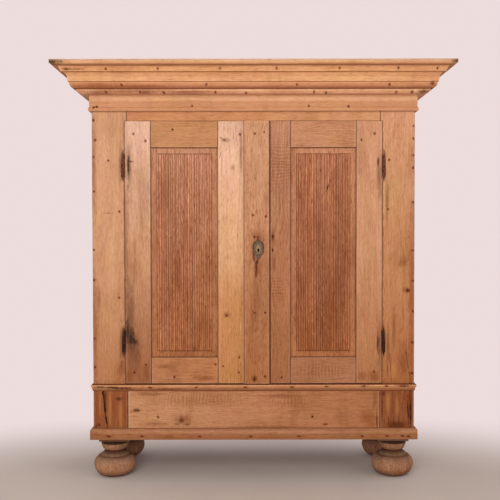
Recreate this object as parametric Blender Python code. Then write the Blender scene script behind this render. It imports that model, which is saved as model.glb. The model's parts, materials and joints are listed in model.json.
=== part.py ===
"""A two-door oak wardrobe on bun feet, with a stepped cornice and reeded door panels.

Metres, +Z up. The front faces -Y, and the origin is on the floor under the middle of the whole piece.
"""

from math import cos, pi, radians, sin, sqrt

import bmesh
import bpy
from mathutils import Vector

# Carcass
CARCASS_WIDTH = 1.490
CARCASS_DEPTH = 0.540
CORNICE_OVERHANG = 0.155

# Heights of the bands on the front, from the floor up
FOOT_HEIGHT = 0.184
BEARER_HEIGHT = 0.014
PLINTH_HEIGHT = 0.0565
BASE_FACE_HEIGHT = 0.176
WAIST_HEIGHT = 0.0245
OPENING_HEIGHT = 1.2185
HEADER_FACE_HEIGHT = 0.042
FRIEZE_FACE_HEIGHT = 0.075
BED_MOULD_HEIGHT = 0.0245
CROWN_HEIGHT = 0.085
TABLET_HEIGHT = 0.022

# Fits that every joint shares
JOINT_GAP = 0.0003
OVERRUN = 0.005
ARRIS = 0.0012
SAME_POINT = 0.00003

# Boards of the carcass
CORNER_STILE_WIDTH = 0.160
FRAME_THICKNESS = 0.036
SIDE_THICKNESS = 0.030
BACK_THICKNESS = 0.016
BACK_BOARD_COUNT = 4
FLOOR_THICKNESS = 0.022
TOP_THICKNESS = 0.020
FRAME_TENON_LENGTH = 0.035
FRAME_TENON_THICKNESS = 0.012
FRAME_TENON_SHOULDER = 0.030

# Rebate that the doors close into
REBATE_WIDTH = 0.0115
REBATE_CLEARANCE = 0.001

# Mouldings: how far each stands out from the carcass
FRIEZE_THICKNESS = 0.0095
ASTRAGAL_HEIGHT = 0.019
ASTRAGAL_SWELL = 0.0045
BED_MOULD_PROJECTION = 0.058
CROWN_PROJECTION = 0.125
CROWN_FOOT_PROJECTION = 0.065
CROWN_FOOT_THICKNESS = 0.014
CROWN_HEAD_WIDTH = 0.046
TABLET_LIP_ROUNDING = 0.010
WAIST_PROJECTION = 0.010
PLINTH_PROJECTION = 0.0145
PLINTH_ROUNDING = 0.0125

# Doors
DOOR_THICKNESS = 0.026
DOOR_SIDE_GAP = 0.0015
DOOR_END_GAP = 0.002
MEETING_GAP = 0.005
HINGE_STILE_WIDTH = 0.120
LOCK_STILE_FACE = 0.121
MEETING_STILE_WIDTH = 0.093
TOP_RAIL_WIDTH = 0.121
BOTTOM_RAIL_WIDTH = 0.123
DOOR_TENON_LENGTH = 0.040
DOOR_TENON_SHOULDER = 0.020

# Planted strip over the meeting of the doors
STRIP_WIDTH = 0.117
STRIP_THICKNESS = 0.012
STRIP_OFF_CENTRE = 0.0143
STRIP_EDGE_LIP = 0.001

# Fielded and reeded panels
TONGUE_SETBACK = 0.010
TONGUE_THICKNESS = 0.008
TONGUE_DEPTH = 0.010
GROOVE_SPARE = 0.0005
PANEL_BEVEL_WIDTH = 0.028
BEVEL_RISE = 0.0035
FIELD_RISE = 0.0062
REED_DEPTH = 0.0022
REED_COUNT = 25
REED_FACETS = 4

# Hinges: a long barrel with tapered ends, half on the frame and half on the door
HINGE_OFFSET = 0.0065
HINGE_PROUD = 0.002
BARREL_RADIUS = 0.0085
BARREL_LENGTH = 0.150
BARREL_TAPER = 0.022
BARREL_TIP_RADIUS = 0.0035
BARREL_SIDES = 20
RECESS_CLEARANCE = 0.0015
PIN_RADIUS = 0.0035
PIN_REACH = 0.045
LEAF_THICKNESS = 0.0025
LEAF_WIDTH = 0.040
LEAF_LENGTH = 0.045
LEAF_OFF_MIDDLE = 0.004
LEAF_BEHIND_AXIS = 0.0055
UPPER_HINGE_DROP = 0.206
LOWER_HINGE_RISE = 0.195

# Lock on the left door and its keeper on the right one
KEYHOLE_HEIGHT = 1.0796
KEYHOLE_OFF_STRIP = 0.0074
KEYHOLE_RADIUS = 0.005
KEYHOLE_SLOT_WIDTH = 0.006
KEYHOLE_SLOT_DROP = 0.0135
ESCUTCHEON_WIDTH = 0.052
ESCUTCHEON_HEIGHT = 0.097
ESCUTCHEON_THICKNESS = 0.0025
ESCUTCHEON_RAISE = 0.0022
LOCK_CASE_WIDTH = 0.100
LOCK_CASE_HEIGHT = 0.110
LOCK_CASE_THICKNESS = 0.018
LOCK_CASE_WALL = 0.002
LOCK_CASE_SETBACK = 0.0015
BOLT_LENGTH = 0.080
BOLT_HEIGHT = 0.016
BOLT_THICKNESS = 0.008
BOLT_ABOVE_KEYHOLE = 0.026
KEEPER_SETBACK = 0.002
KEEPER_WIDTH = 0.025
KEEPER_HEIGHT = 0.030
KEEPER_THICKNESS = 0.016
KEEPER_POCKET = 0.015
KEEPER_CLEARANCE = 0.0005

# Bun feet and the bearers that they are pegged into
BUN_RADIUS = 0.100
BUN_WIDEST_HEIGHT = 0.056
BUN_SOLE_RADIUS = 0.060
NECK_RADIUS = 0.046
NECK_HEIGHT = 0.115
NECK_LENGTH = 0.007
COLLAR_FOOT_RADIUS = 0.054
COLLAR_RADIUS = 0.066
COLLAR_BAND = 0.006
FOOT_GROOVE_HEIGHT = 0.097
FOOT_GROOVE_WIDTH = 0.006
FOOT_GROOVE_DEPTH = 0.0022
FOOT_SIDES = 32
ARC_STEPS = 6
BEAD_STEPS = 8
KEYHOLE_STEPS = 12
SMOOTH_ANGLE = 35
FOOT_INSET = 0.078
FOOT_SETBACK = 0.120
PEG_RADIUS = 0.014
BEARER_WIDTH = 0.144
BEARER_OUTSIDE_FOOT = 0.055
BEARER_SETBACK = 0.008

# Hanging rail, let into blind holes in the two sides
RAIL_RADIUS = 0.015
RAIL_DROP = 0.0395
RAIL_SOCKET_DEPTH = 0.012
RAIL_SIDES = 24

# Planes and levels that follow from the sizes above
HALF_WIDTH = CARCASS_WIDTH / 2
FRONT = CORNICE_OVERHANG / 2 - CARCASS_DEPTH / 2
BACK = FRONT + CARCASS_DEPTH
FRAME_BACK = FRONT + FRAME_THICKNESS
DOOR_BACK = FRONT + DOOR_THICKNESS
REBATE_BACK = DOOR_BACK + REBATE_CLEARANCE
INNER_HALF_WIDTH = HALF_WIDTH - SIDE_THICKNESS
INNER_BACK = BACK - BACK_THICKNESS
FOOT_OFF_CENTRE = HALF_WIDTH - FOOT_INSET
BEARER_OUTER = FOOT_OFF_CENTRE + BEARER_OUTSIDE_FOOT
BEARER_INNER = BEARER_OUTER - BEARER_WIDTH
BASE_BOTTOM = FOOT_HEIGHT + BEARER_HEIGHT
PLINTH_TOP = BASE_BOTTOM + PLINTH_HEIGHT
WAIST_BOTTOM = PLINTH_TOP + BASE_FACE_HEIGHT
OPENING_BOTTOM = WAIST_BOTTOM + WAIST_HEIGHT
OPENING_TOP = OPENING_BOTTOM + OPENING_HEIGHT
FRIEZE_BOTTOM = OPENING_TOP + HEADER_FACE_HEIGHT
BED_MOULD_BOTTOM = FRIEZE_BOTTOM + FRIEZE_FACE_HEIGHT
CROWN_BOTTOM = BED_MOULD_BOTTOM + BED_MOULD_HEIGHT
CARCASS_TOP = CROWN_BOTTOM + CROWN_HEIGHT
OPENING_HALF = HALF_WIDTH - CORNER_STILE_WIDTH
REBATE_HALF = OPENING_HALF + REBATE_WIDTH
DOOR_EDGE = REBATE_HALF - DOOR_SIDE_GAP
DOOR_BOTTOM = OPENING_BOTTOM + DOOR_END_GAP
DOOR_TOP = OPENING_TOP - DOOR_END_GAP
PANEL_BOTTOM = DOOR_BOTTOM + BOTTOM_RAIL_WIDTH
PANEL_TOP = DOOR_TOP - TOP_RAIL_WIDTH
UPPER_HINGE_HEIGHT = DOOR_TOP - UPPER_HINGE_DROP
LOWER_HINGE_HEIGHT = DOOR_BOTTOM + LOWER_HINGE_RISE
RAIL_HEIGHT = OPENING_TOP - RAIL_DROP
STRIP_LEFT = STRIP_OFF_CENTRE - STRIP_WIDTH / 2
STRIP_RIGHT = STRIP_OFF_CENTRE + STRIP_WIDTH / 2
LOCK_STILE_LEFT = STRIP_LEFT - LOCK_STILE_FACE
LOCK_STILE_RIGHT = STRIP_RIGHT - STRIP_EDGE_LIP
MEETING_STILE_LEFT = STRIP_RIGHT + MEETING_GAP
MEETING_STILE_RIGHT = MEETING_STILE_LEFT + MEETING_STILE_WIDTH
HINGE_STILE_EDGE = DOOR_EDGE - HINGE_STILE_WIDTH
HINGE_X = DOOR_EDGE + HINGE_OFFSET
HINGE_Y = FRONT - HINGE_PROUD
TONGUE_FRONT = FRONT + TONGUE_SETBACK
TONGUE_BACK = TONGUE_FRONT + TONGUE_THICKNESS
KEYHOLE_X = STRIP_OFF_CENTRE + KEYHOLE_OFF_STRIP
STRIP_FRONT = FRONT - JOINT_GAP - STRIP_THICKNESS
LOCK_CASE_RIGHT = LOCK_STILE_RIGHT - LOCK_CASE_SETBACK
LOCK_CASE_FRONT = DOOR_BACK + JOINT_GAP
BOLT_HEIGHT_MIDDLE = KEYHOLE_HEIGHT + BOLT_ABOVE_KEYHOLE
BOLT_MIDDLE_Y = LOCK_CASE_FRONT + LOCK_CASE_THICKNESS / 2
KEEPER_LEFT = MEETING_STILE_LEFT + KEEPER_SETBACK

# Colours, roughness and metal of each finish
PALE_OAK = (0.62, 0.36, 0.20, 0.62, 0.0)
HONEY_OAK = (0.58, 0.32, 0.16, 0.60, 0.0)
RED_OAK = (0.42, 0.20, 0.11, 0.64, 0.0)
GREY_OAK = (0.30, 0.20, 0.15, 0.75, 0.0)
INNER_PINE = (0.52, 0.36, 0.22, 0.75, 0.0)
DARK_IRON = (0.07, 0.045, 0.035, 0.70, 0.6)
AGED_BRASS = (0.22, 0.17, 0.12, 0.55, 0.8)

# Outlines as shares of a width and a height
CROWN_FASCIA_SHARE = (0.80, 0.72)
CROWN_COVE_HEAD_SHARE = (0.74, 0.72)
CROWN_COVE_FOOT_SHARE = (0.38, 0.30)
CROWN_OVOLO_HEAD_SHARE = (0.32, 0.30)
WAIST_BEAD_SHARE = 0.55
WAIST_QUIRK_SHARE = 0.60
WAIST_LOWER_SHARE = 0.80
WAIST_FOOT_SHARE = 0.35
BED_MOULD_FOOT_SHARE = 0.76
PLINTH_TOP_SHARE = 0.25
ESCUTCHEON_SHARES = (
    (0.00, 1.00),
    (0.26, 0.94),
    (0.40, 0.80),
    (0.64, 0.77),
    (0.88, 0.62),
    (1.00, 0.34),
    (0.98, 0.02),
    (0.86, -0.28),
    (0.60, -0.56),
    (0.30, -0.80),
    (0.00, -1.00),
)
RAISED_SHARE = 0.66


def clear_scene():
    for old in list(bpy.data.objects):
        bpy.data.objects.remove(old)


def new_object(name, mesh):
    piece = bpy.data.objects.new(name, mesh)
    bpy.context.scene.collection.objects.link(piece)
    return piece


def object_from(name, points, faces):
    """A closed piece whose origin is the middle of its box, with every face outwards."""
    low = Vector([min(point[axis] for point in points) for axis in range(3)])
    high = Vector([max(point[axis] for point in points) for axis in range(3)])
    middle = (low + high) / 2
    bm = bmesh.new()
    corners = [bm.verts.new(Vector(point) - middle) for point in points]
    for face in faces:
        bm.faces.new([corners[index] for index in face])
    bmesh.ops.recalc_face_normals(bm, faces=bm.faces)
    mesh = bpy.data.meshes.new(name)
    bm.to_mesh(mesh)
    bm.free()
    piece = new_object(name, mesh)
    piece.location = middle
    return piece


def box(name, x_pair, y_pair, z_pair):
    """A plain block between two values on each axis, in either order."""
    spans = [sorted(pair) for pair in (x_pair, y_pair, z_pair)]
    points = [(x, y, z) for x in spans[0] for y in spans[1] for z in spans[2]]
    faces = [(0, 1, 3, 2), (4, 6, 7, 5), (0, 4, 5, 1), (2, 3, 7, 6), (0, 2, 6, 4), (1, 5, 7, 3)]
    return object_from(name, points, faces)


def board(name, x_pair, y_pair, z_pair):
    """A sawn board: a block with every arris eased."""
    piece = box(name, x_pair, y_pair, z_pair)
    bm = bmesh.new()
    bm.from_mesh(piece.data)
    bmesh.ops.bevel(bm, geom=bm.edges[:], offset=ARRIS, segments=1, affect="EDGES")
    bm.to_mesh(piece.data)
    bm.free()
    return piece


def loft(name, first, second):
    """A solid between two outlines that have the same number of points."""
    count = len(first)
    sides = [(i, (i + 1) % count, (i + 1) % count + count, i + count) for i in range(count)]
    ends = [tuple(range(count)), tuple(range(count, 2 * count))]
    return object_from(name, list(first) + list(second), sides + ends)


def turned(name, profile, sides, centre):
    """A lathe shape about an upright axis. profile runs (radius, height) from one end to the other."""
    points = []
    starts = []
    for r, z in profile:
        starts.append(len(points))
        count = sides if r > 0 else 1
        for i in range(count):
            angle = 2 * pi * i / sides
            points.append((centre[0] + r * cos(angle), centre[1] + r * sin(angle), centre[2] + z))
    faces = []
    for (r0, _), (r1, _), a, b in zip(profile, profile[1:], starts, starts[1:]):
        for i in range(sides):
            j = (i + 1) % sides
            low = [a + i, a + j] if r0 > 0 else [a]
            high = [b + j, b + i] if r1 > 0 else [b]
            faces.append(low + high)
    piece = object_from(name, points, faces)
    piece.data.shade_smooth()
    piece.data.set_sharp_from_angle(angle=radians(SMOOTH_ANGLE))
    return piece


def combine(piece, tool, operation):
    """Cut or join piece with tool by an exact Boolean, and remove the tool."""
    modifier = piece.modifiers.new(operation, "BOOLEAN")
    modifier.operation = operation
    modifier.solver = "EXACT"
    modifier.object = tool
    bpy.context.view_layer.update()
    graph = bpy.context.evaluated_depsgraph_get()
    result = bpy.data.meshes.new_from_object(piece.evaluated_get(graph))
    piece.modifiers.clear()
    piece.data = result
    result.name = piece.name
    bpy.data.objects.remove(tool)


def cut(piece, tool):
    combine(piece, tool, "DIFFERENCE")


def join(piece, tool):
    combine(piece, tool, "UNION")


def finish(piece, look, parent):
    """Give the piece a material of its own and hang it on its body's empty."""
    red, green, blue, roughness, metallic = look
    material = bpy.data.materials.new(piece.name)
    material.use_nodes = True
    shader = material.node_tree.nodes["Principled BSDF"]
    shader.inputs["Base Color"].default_value = (red, green, blue, 1)
    shader.inputs["Roughness"].default_value = roughness
    shader.inputs["Metallic"].default_value = metallic
    piece.data.materials.clear()
    piece.data.materials.append(material)
    bpy.context.view_layer.update()
    piece.parent = parent
    piece.matrix_parent_inverse = parent.matrix_world.inverted()


def pivot(name, place, parent=None):
    """An empty on a joint's axis, which carries a moving body's pieces."""
    empty = bpy.data.objects.new(name, None)
    bpy.context.scene.collection.objects.link(empty)
    empty.location = place
    if parent:
        bpy.context.view_layer.update()
        empty.parent = parent
        empty.matrix_parent_inverse = parent.matrix_world.inverted()
    bpy.context.view_layer.update()
    return empty


def quarter_steps():
    """The angles of a quarter circle, from none to square."""
    return [radians(90) * step / ARC_STEPS for step in range(ARC_STEPS + 1)]


def ovolo(head, foot):
    """Convex quarter round down and inwards, upright at its head."""
    return [
        (foot[0] + (head[0] - foot[0]) * cos(t), head[1] + (foot[1] - head[1]) * sin(t))
        for t in quarter_steps()
    ]


def cove(head, foot):
    """Hollow quarter round down and inwards, level at its head."""
    return [
        (head[0] + (foot[0] - head[0]) * sin(t), foot[1] + (head[1] - foot[1]) * cos(t))
        for t in quarter_steps()
    ]


def moulding(name, outline, look, parent):
    """A moulding on the front and both sides, mitred at the front corners.

    outline holds (distance out from the carcass, height) pairs.
    """
    front_ends = [
        [(side * (HALF_WIDTH + out - JOINT_GAP), FRONT - out, z) for out, z in outline] for side in (-1, 1)
    ]
    finish(loft(name + "_front", front_ends[0], front_ends[1]), look, parent)
    for side, word in ((-1, "left"), (1, "right")):
        fore = [(side * (HALF_WIDTH + out), FRONT - out + JOINT_GAP, z) for out, z in outline]
        rear = [(side * (HALF_WIDTH + out), BACK, z) for out, z in outline]
        finish(loft(name + "_" + word, fore, rear), look, parent)


def corner_stiles(carcass):
    """The two wide front uprights, rebated for the doors and recessed for the hinge barrels."""
    for side, word in ((-1, "left"), (1, "right")):
        name = "corner_stile_" + word
        stile = board(
            name,
            (side * OPENING_HALF, side * HALF_WIDTH),
            (FRONT, FRAME_BACK),
            (BASE_BOTTOM + JOINT_GAP, CARCASS_TOP - JOINT_GAP),
        )
        cut(
            stile,
            box(
                "rebate",
                (side * (OPENING_HALF - OVERRUN), side * REBATE_HALF),
                (FRONT - OVERRUN, REBATE_BACK),
                (OPENING_BOTTOM, OPENING_TOP),
            ),
        )
        for low, high in frame_tenon_spans():
            cut(stile, frame_tenon("mortise", side, low, high, JOINT_GAP))
        for height in (LOWER_HINGE_HEIGHT, UPPER_HINGE_HEIGHT):
            cut(stile, barrel_recess(side, height))
            cut(stile, leaf("leaf_mortise", side, 1, height - LEAF_OFF_MIDDLE - LEAF_LENGTH, JOINT_GAP))
        finish(stile, HONEY_OAK, carcass)


def frame_tenon_spans():
    """Heights of the tenons of the base board and of the header rail."""
    return (
        (BASE_BOTTOM + FRAME_TENON_SHOULDER, OPENING_BOTTOM - FRAME_TENON_SHOULDER),
        (OPENING_TOP + FRAME_TENON_SHOULDER, CARCASS_TOP - FRAME_TENON_SHOULDER),
    )


def frame_tenon(name, side, low, high, extra):
    """A tenon of the front frame, or its mortise where extra is the clearance."""
    middle = (FRONT + FRAME_BACK) / 2
    reach = OPENING_HALF + FRAME_TENON_LENGTH + extra
    half = FRAME_TENON_THICKNESS / 2 + extra
    return box(
        name,
        (side * (OPENING_HALF - OVERRUN), side * reach),
        (middle - half, middle + half),
        (low - extra, high + extra),
    )


def front_rails(carcass):
    """The header rail over the doors and the base board under them, tenoned into the corner stiles."""
    span = (JOINT_GAP - OPENING_HALF, OPENING_HALF - JOINT_GAP)
    base_span, header_span = frame_tenon_spans()
    header = board(
        "header_rail",
        span,
        (FRONT, FRAME_BACK),
        (OPENING_TOP - REBATE_WIDTH, CARCASS_TOP - JOINT_GAP),
    )
    base = board(
        "base_board",
        span,
        (FRONT, FRAME_BACK),
        (BASE_BOTTOM + JOINT_GAP, OPENING_BOTTOM + REBATE_WIDTH),
    )
    rebate_x = (-HALF_WIDTH, HALF_WIDTH)
    rebate_y = (FRONT - OVERRUN, REBATE_BACK)
    header_rebate = (OPENING_TOP - REBATE_WIDTH - OVERRUN, OPENING_TOP)
    base_rebate = (OPENING_BOTTOM, OPENING_BOTTOM + REBATE_WIDTH + OVERRUN)
    cut(header, box("header_rebate", rebate_x, rebate_y, header_rebate))
    cut(base, box("base_rebate", rebate_x, rebate_y, base_rebate))
    for side in (-1, 1):
        join(header, frame_tenon("tenon", side, header_span[0], header_span[1], 0))
        join(base, frame_tenon("tenon", side, base_span[0], base_span[1], 0))
    finish(header, HONEY_OAK, carcass)
    finish(base, RED_OAK, carcass)


def sides(carcass):
    """The plank sides, which the corner stiles are nailed to, bored inside for the hanging rail."""
    for side, word in ((-1, "left"), (1, "right")):
        plank = board(
            "side_" + word,
            (side * INNER_HALF_WIDTH, side * HALF_WIDTH),
            (FRAME_BACK + JOINT_GAP, BACK),
            (BASE_BOTTOM + JOINT_GAP, CARCASS_TOP - JOINT_GAP),
        )
        inner = side * (INNER_HALF_WIDTH - OVERRUN)
        bottom = side * (INNER_HALF_WIDTH + RAIL_SOCKET_DEPTH)
        cut(plank, round_bar("socket", inner, bottom, RAIL_RADIUS + JOINT_GAP))
        finish(plank, HONEY_OAK, carcass)


def rail_middle():
    """Middle of the hanging space, front to back."""
    return (FRAME_BACK + INNER_BACK) / 2


def round_bar(name, start, end, radius):
    """A round bar along X at the hanging rail's height."""
    rings = []
    for x in (start, end):
        angles = [2 * pi * i / RAIL_SIDES for i in range(RAIL_SIDES)]
        rings.append([(x, rail_middle() + radius * cos(a), RAIL_HEIGHT + radius * sin(a)) for a in angles])
    bar = loft(name, rings[0], rings[1])
    bar.data.shade_smooth()
    bar.data.set_sharp_from_angle(angle=radians(SMOOTH_ANGLE))
    return bar


def hanging_rail(carcass):
    """A round pole across the inside, for hangers."""
    reach = INNER_HALF_WIDTH + RAIL_SOCKET_DEPTH - JOINT_GAP
    finish(round_bar("hanging_rail", -reach, reach, RAIL_RADIUS), INNER_PINE, carcass)


def back_boards(carcass):
    """Upright boards that close the back, between the sides."""
    inside = 2 * (INNER_HALF_WIDTH - JOINT_GAP)
    pitch = (inside + JOINT_GAP) / BACK_BOARD_COUNT
    for number in range(BACK_BOARD_COUNT):
        left = JOINT_GAP - INNER_HALF_WIDTH + number * pitch
        plank = board(
            "back_board_" + str(number + 1),
            (left, left + pitch - JOINT_GAP),
            (INNER_BACK, BACK),
            (BASE_BOTTOM + JOINT_GAP, CARCASS_TOP - JOINT_GAP),
        )
        finish(plank, INNER_PINE, carcass)


def floor_and_top(carcass):
    """The floor behind the base board and the boards that close the top."""
    across = (JOINT_GAP - INNER_HALF_WIDTH, INNER_HALF_WIDTH - JOINT_GAP)
    depth = (FRAME_BACK + JOINT_GAP, INNER_BACK - JOINT_GAP)
    floor_top = OPENING_BOTTOM + REBATE_WIDTH
    floor = board("floor_board", across, depth, (floor_top - FLOOR_THICKNESS, floor_top))
    finish(floor, INNER_PINE, carcass)
    top_level = CARCASS_TOP - JOINT_GAP
    top = board("top_board", across, depth, (top_level - TOP_THICKNESS, top_level))
    finish(top, INNER_PINE, carcass)


def frieze(carcass):
    """A thin board planted over the top of the front frame and sides, with an astragal along its foot."""
    outline = [(JOINT_GAP, FRIEZE_BOTTOM)]
    for step in range(BEAD_STEPS + 1):
        angle = pi * step / BEAD_STEPS
        swell = ASTRAGAL_SWELL * sin(angle)
        outline.append((FRIEZE_THICKNESS + swell, FRIEZE_BOTTOM + ASTRAGAL_HEIGHT * (1 - cos(angle)) / 2))
    outline.append((FRIEZE_THICKNESS, CARCASS_TOP - JOINT_GAP))
    outline.append((JOINT_GAP, CARCASS_TOP - JOINT_GAP))
    moulding("frieze", outline, PALE_OAK, carcass)


def bed_mould(carcass):
    """A bead-like strip under the crown mould."""
    inner = FRIEZE_THICKNESS + JOINT_GAP
    top = CROWN_BOTTOM - JOINT_GAP
    foot = BED_MOULD_PROJECTION * BED_MOULD_FOOT_SHARE
    outline = [(inner, BED_MOULD_BOTTOM), (foot, BED_MOULD_BOTTOM)]
    outline.append((BED_MOULD_PROJECTION, (BED_MOULD_BOTTOM + top) / 2))
    outline += [(BED_MOULD_PROJECTION, top), (inner, top)]
    moulding("bed_mould", outline, PALE_OAK, carcass)


def crown_point(share):
    """A point of the crown mould from its shares of the projection and of the height."""
    spread = CROWN_PROJECTION - CROWN_FOOT_PROJECTION
    height = CROWN_HEIGHT - JOINT_GAP
    return (CROWN_FOOT_PROJECTION + spread * share[0], CROWN_BOTTOM + height * share[1])


def crown_mould(carcass):
    """The wide sloping plank of the cornice: fascia, cove and ovolo, hollow behind."""
    inner = FRIEZE_THICKNESS + JOINT_GAP
    outline = [crown_point((1, 1)), crown_point(CROWN_FASCIA_SHARE)]
    outline += cove(crown_point(CROWN_COVE_HEAD_SHARE), crown_point(CROWN_COVE_FOOT_SHARE))
    outline += ovolo(crown_point(CROWN_OVOLO_HEAD_SHARE), crown_point((0, 0)))
    outline.append((inner, crown_point((0, 0))[1]))
    outline.append((inner, crown_point((0, 0))[1] + CROWN_FOOT_THICKNESS))
    outline.append((CROWN_PROJECTION - CROWN_HEAD_WIDTH, crown_point((1, 1))[1]))
    moulding("crown_mould", outline, HONEY_OAK, carcass)


def tablet(carcass):
    """The flat boards that lie on the crown and finish the cornice, with a rounded lower lip."""
    top = CARCASS_TOP + TABLET_HEIGHT
    lip = CORNICE_OVERHANG - TABLET_LIP_ROUNDING
    outline = [(-SIDE_THICKNESS, CARCASS_TOP), (-SIDE_THICKNESS, top), (CORNICE_OVERHANG - ARRIS, top)]
    outline += [(CORNICE_OVERHANG, top - ARRIS)]
    outline += ovolo((CORNICE_OVERHANG, CARCASS_TOP + TABLET_LIP_ROUNDING), (lip, CARCASS_TOP))
    moulding("tablet", outline, HONEY_OAK, carcass)


def waist_mould(carcass):
    """A fine moulding over the joint between the doors and the base."""
    bead_level = WAIST_BOTTOM + WAIST_HEIGHT * WAIST_BEAD_SHARE
    radius = (OPENING_BOTTOM - bead_level) / 2
    quirk = WAIST_PROJECTION * WAIST_QUIRK_SHARE
    outline = [(JOINT_GAP, WAIST_BOTTOM), (WAIST_PROJECTION * WAIST_FOOT_SHARE, WAIST_BOTTOM)]
    outline += reversed(cove((WAIST_PROJECTION * WAIST_LOWER_SHARE, bead_level), outline[1]))
    for step in range(BEAD_STEPS + 1):
        angle = pi * step / BEAD_STEPS
        nose = quirk + (WAIST_PROJECTION - quirk) * sin(angle)
        outline.append((nose, bead_level + radius * (1 - cos(angle))))
    outline.append((JOINT_GAP, OPENING_BOTTOM))
    moulding("waist_mould", tidy(outline), RED_OAK, carcass)


def tidy(outline):
    """The outline without points that repeat the one before."""
    kept = [outline[0]]
    for point in outline[1:]:
        if abs(point[0] - kept[-1][0]) + abs(point[1] - kept[-1][1]) > SAME_POINT:
            kept.append(point)
    return kept


def plinth_mould(carcass):
    """A board along the foot of the base with a rounded top edge."""
    shelf = PLINTH_PROJECTION * PLINTH_TOP_SHARE
    shoulder = (PLINTH_PROJECTION, PLINTH_TOP - PLINTH_ROUNDING)
    arc = [
        (shelf + (PLINTH_PROJECTION - shelf) * sin(t), shoulder[1] + PLINTH_ROUNDING * cos(t))
        for t in quarter_steps()
    ]
    outline = [(JOINT_GAP, BASE_BOTTOM), (JOINT_GAP, PLINTH_TOP)] + arc + [(PLINTH_PROJECTION, BASE_BOTTOM)]
    moulding("plinth_mould", outline, RED_OAK, carcass)


def foot_places():
    """Name and centre of each foot."""
    for side, word in ((-1, "left"), (1, "right")):
        yield "foot_front_" + word, (side * FOOT_OFF_CENTRE, FRONT + FOOT_SETBACK, 0)
        yield "foot_rear_" + word, (side * FOOT_OFF_CENTRE, BACK - FOOT_SETBACK, 0)


def bearers(carcass):
    """Flat skids under the base, bored for the pegs of the feet."""
    for side, word in ((-1, "left"), (1, "right")):
        skid = board(
            "bearer_" + word,
            (side * BEARER_INNER, side * BEARER_OUTER),
            (FRONT + BEARER_SETBACK, BACK - BEARER_SETBACK),
            (FOOT_HEIGHT, BASE_BOTTOM),
        )
        for name, centre in foot_places():
            if name.endswith(word):
                hole = [(0, -OVERRUN), (PEG_RADIUS + JOINT_GAP, -OVERRUN)]
                hole += [(PEG_RADIUS + JOINT_GAP, BEARER_HEIGHT + OVERRUN), (0, BEARER_HEIGHT + OVERRUN)]
                cut(skid, turned("peg_hole", hole, BARREL_SIDES, (centre[0], centre[1], FOOT_HEIGHT)))
        finish(skid, GREY_OAK, carcass)


def bun_radius(height):
    """Radius of the bun at a height: two ellipses that meet where it is widest."""
    if height < BUN_WIDEST_HEIGHT:
        reach = BUN_WIDEST_HEIGHT / sqrt(1 - (BUN_SOLE_RADIUS / BUN_RADIUS) ** 2)
    else:
        reach = (NECK_HEIGHT - BUN_WIDEST_HEIGHT) / sqrt(1 - (NECK_RADIUS / BUN_RADIUS) ** 2)
    return BUN_RADIUS * sqrt(1 - ((height - BUN_WIDEST_HEIGHT) / reach) ** 2)


def evenly(low, high):
    """Levels at even steps between two values, both of them included."""
    return [low + (high - low) * step / ARC_STEPS for step in range(ARC_STEPS + 1)]


def foot_profile():
    """Sole, bun with a turned groove on its shoulder, neck, spreading collar and peg."""
    groove_start = FOOT_GROOVE_HEIGHT - FOOT_GROOVE_WIDTH / 2
    groove_end = FOOT_GROOVE_HEIGHT + FOOT_GROOVE_WIDTH / 2
    lower = evenly(0, BUN_WIDEST_HEIGHT) + evenly(BUN_WIDEST_HEIGHT, groove_start)[1:]
    profile = [(0, 0)] + [(bun_radius(z), z) for z in lower]
    profile.append((bun_radius(FOOT_GROOVE_HEIGHT) - FOOT_GROOVE_DEPTH, FOOT_GROOVE_HEIGHT))
    profile += [(bun_radius(z), z) for z in evenly(groove_end, NECK_HEIGHT)]
    collar_bottom = NECK_HEIGHT + NECK_LENGTH
    collar_top = FOOT_HEIGHT - JOINT_GAP
    profile += [(NECK_RADIUS, collar_bottom), (COLLAR_FOOT_RADIUS - ARRIS, collar_bottom)]
    profile += [(COLLAR_FOOT_RADIUS, collar_bottom + ARRIS), (COLLAR_RADIUS, collar_top - COLLAR_BAND)]
    profile += [(COLLAR_RADIUS, collar_top), (PEG_RADIUS, collar_top)]
    profile += [(PEG_RADIUS, BASE_BOTTOM - JOINT_GAP), (0, BASE_BOTTOM - JOINT_GAP)]
    return profile


def feet(carcass):
    for name, centre in foot_places():
        finish(turned(name, foot_profile(), FOOT_SIDES, centre), GREY_OAK, carcass)


def barrel_end(sign, extra):
    """Tapered end of a hinge barrel, from its shoulder out to its tip."""
    half = BARREL_LENGTH / 2
    return [
        (BARREL_RADIUS + extra, sign * (half - BARREL_TAPER)),
        (BARREL_TIP_RADIUS + extra, sign * (half + extra)),
        (0, sign * (half + extra)),
    ]


def barrel_recess(side, height):
    """The hollow round a whole barrel, cut into the stiles on both sides of the joint."""
    profile = barrel_end(-1, RECESS_CLEARANCE)[::-1] + barrel_end(1, RECESS_CLEARANCE)
    return turned("recess", profile, BARREL_SIDES, (side * HINGE_X, HINGE_Y, height))


def leaf(name, side, direction, low, extra):
    """The flat leaf of a hinge, outwards into the frame (1) or inwards into the door (-1), or its mortise."""
    front = HINGE_Y + LEAF_BEHIND_AXIS
    reach = HINGE_X + direction * (LEAF_WIDTH + extra)
    return box(
        name,
        (side * HINGE_X, side * reach),
        (front - extra, front + LEAF_THICKNESS + extra),
        (low - extra, low + LEAF_LENGTH + extra),
    )


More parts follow.
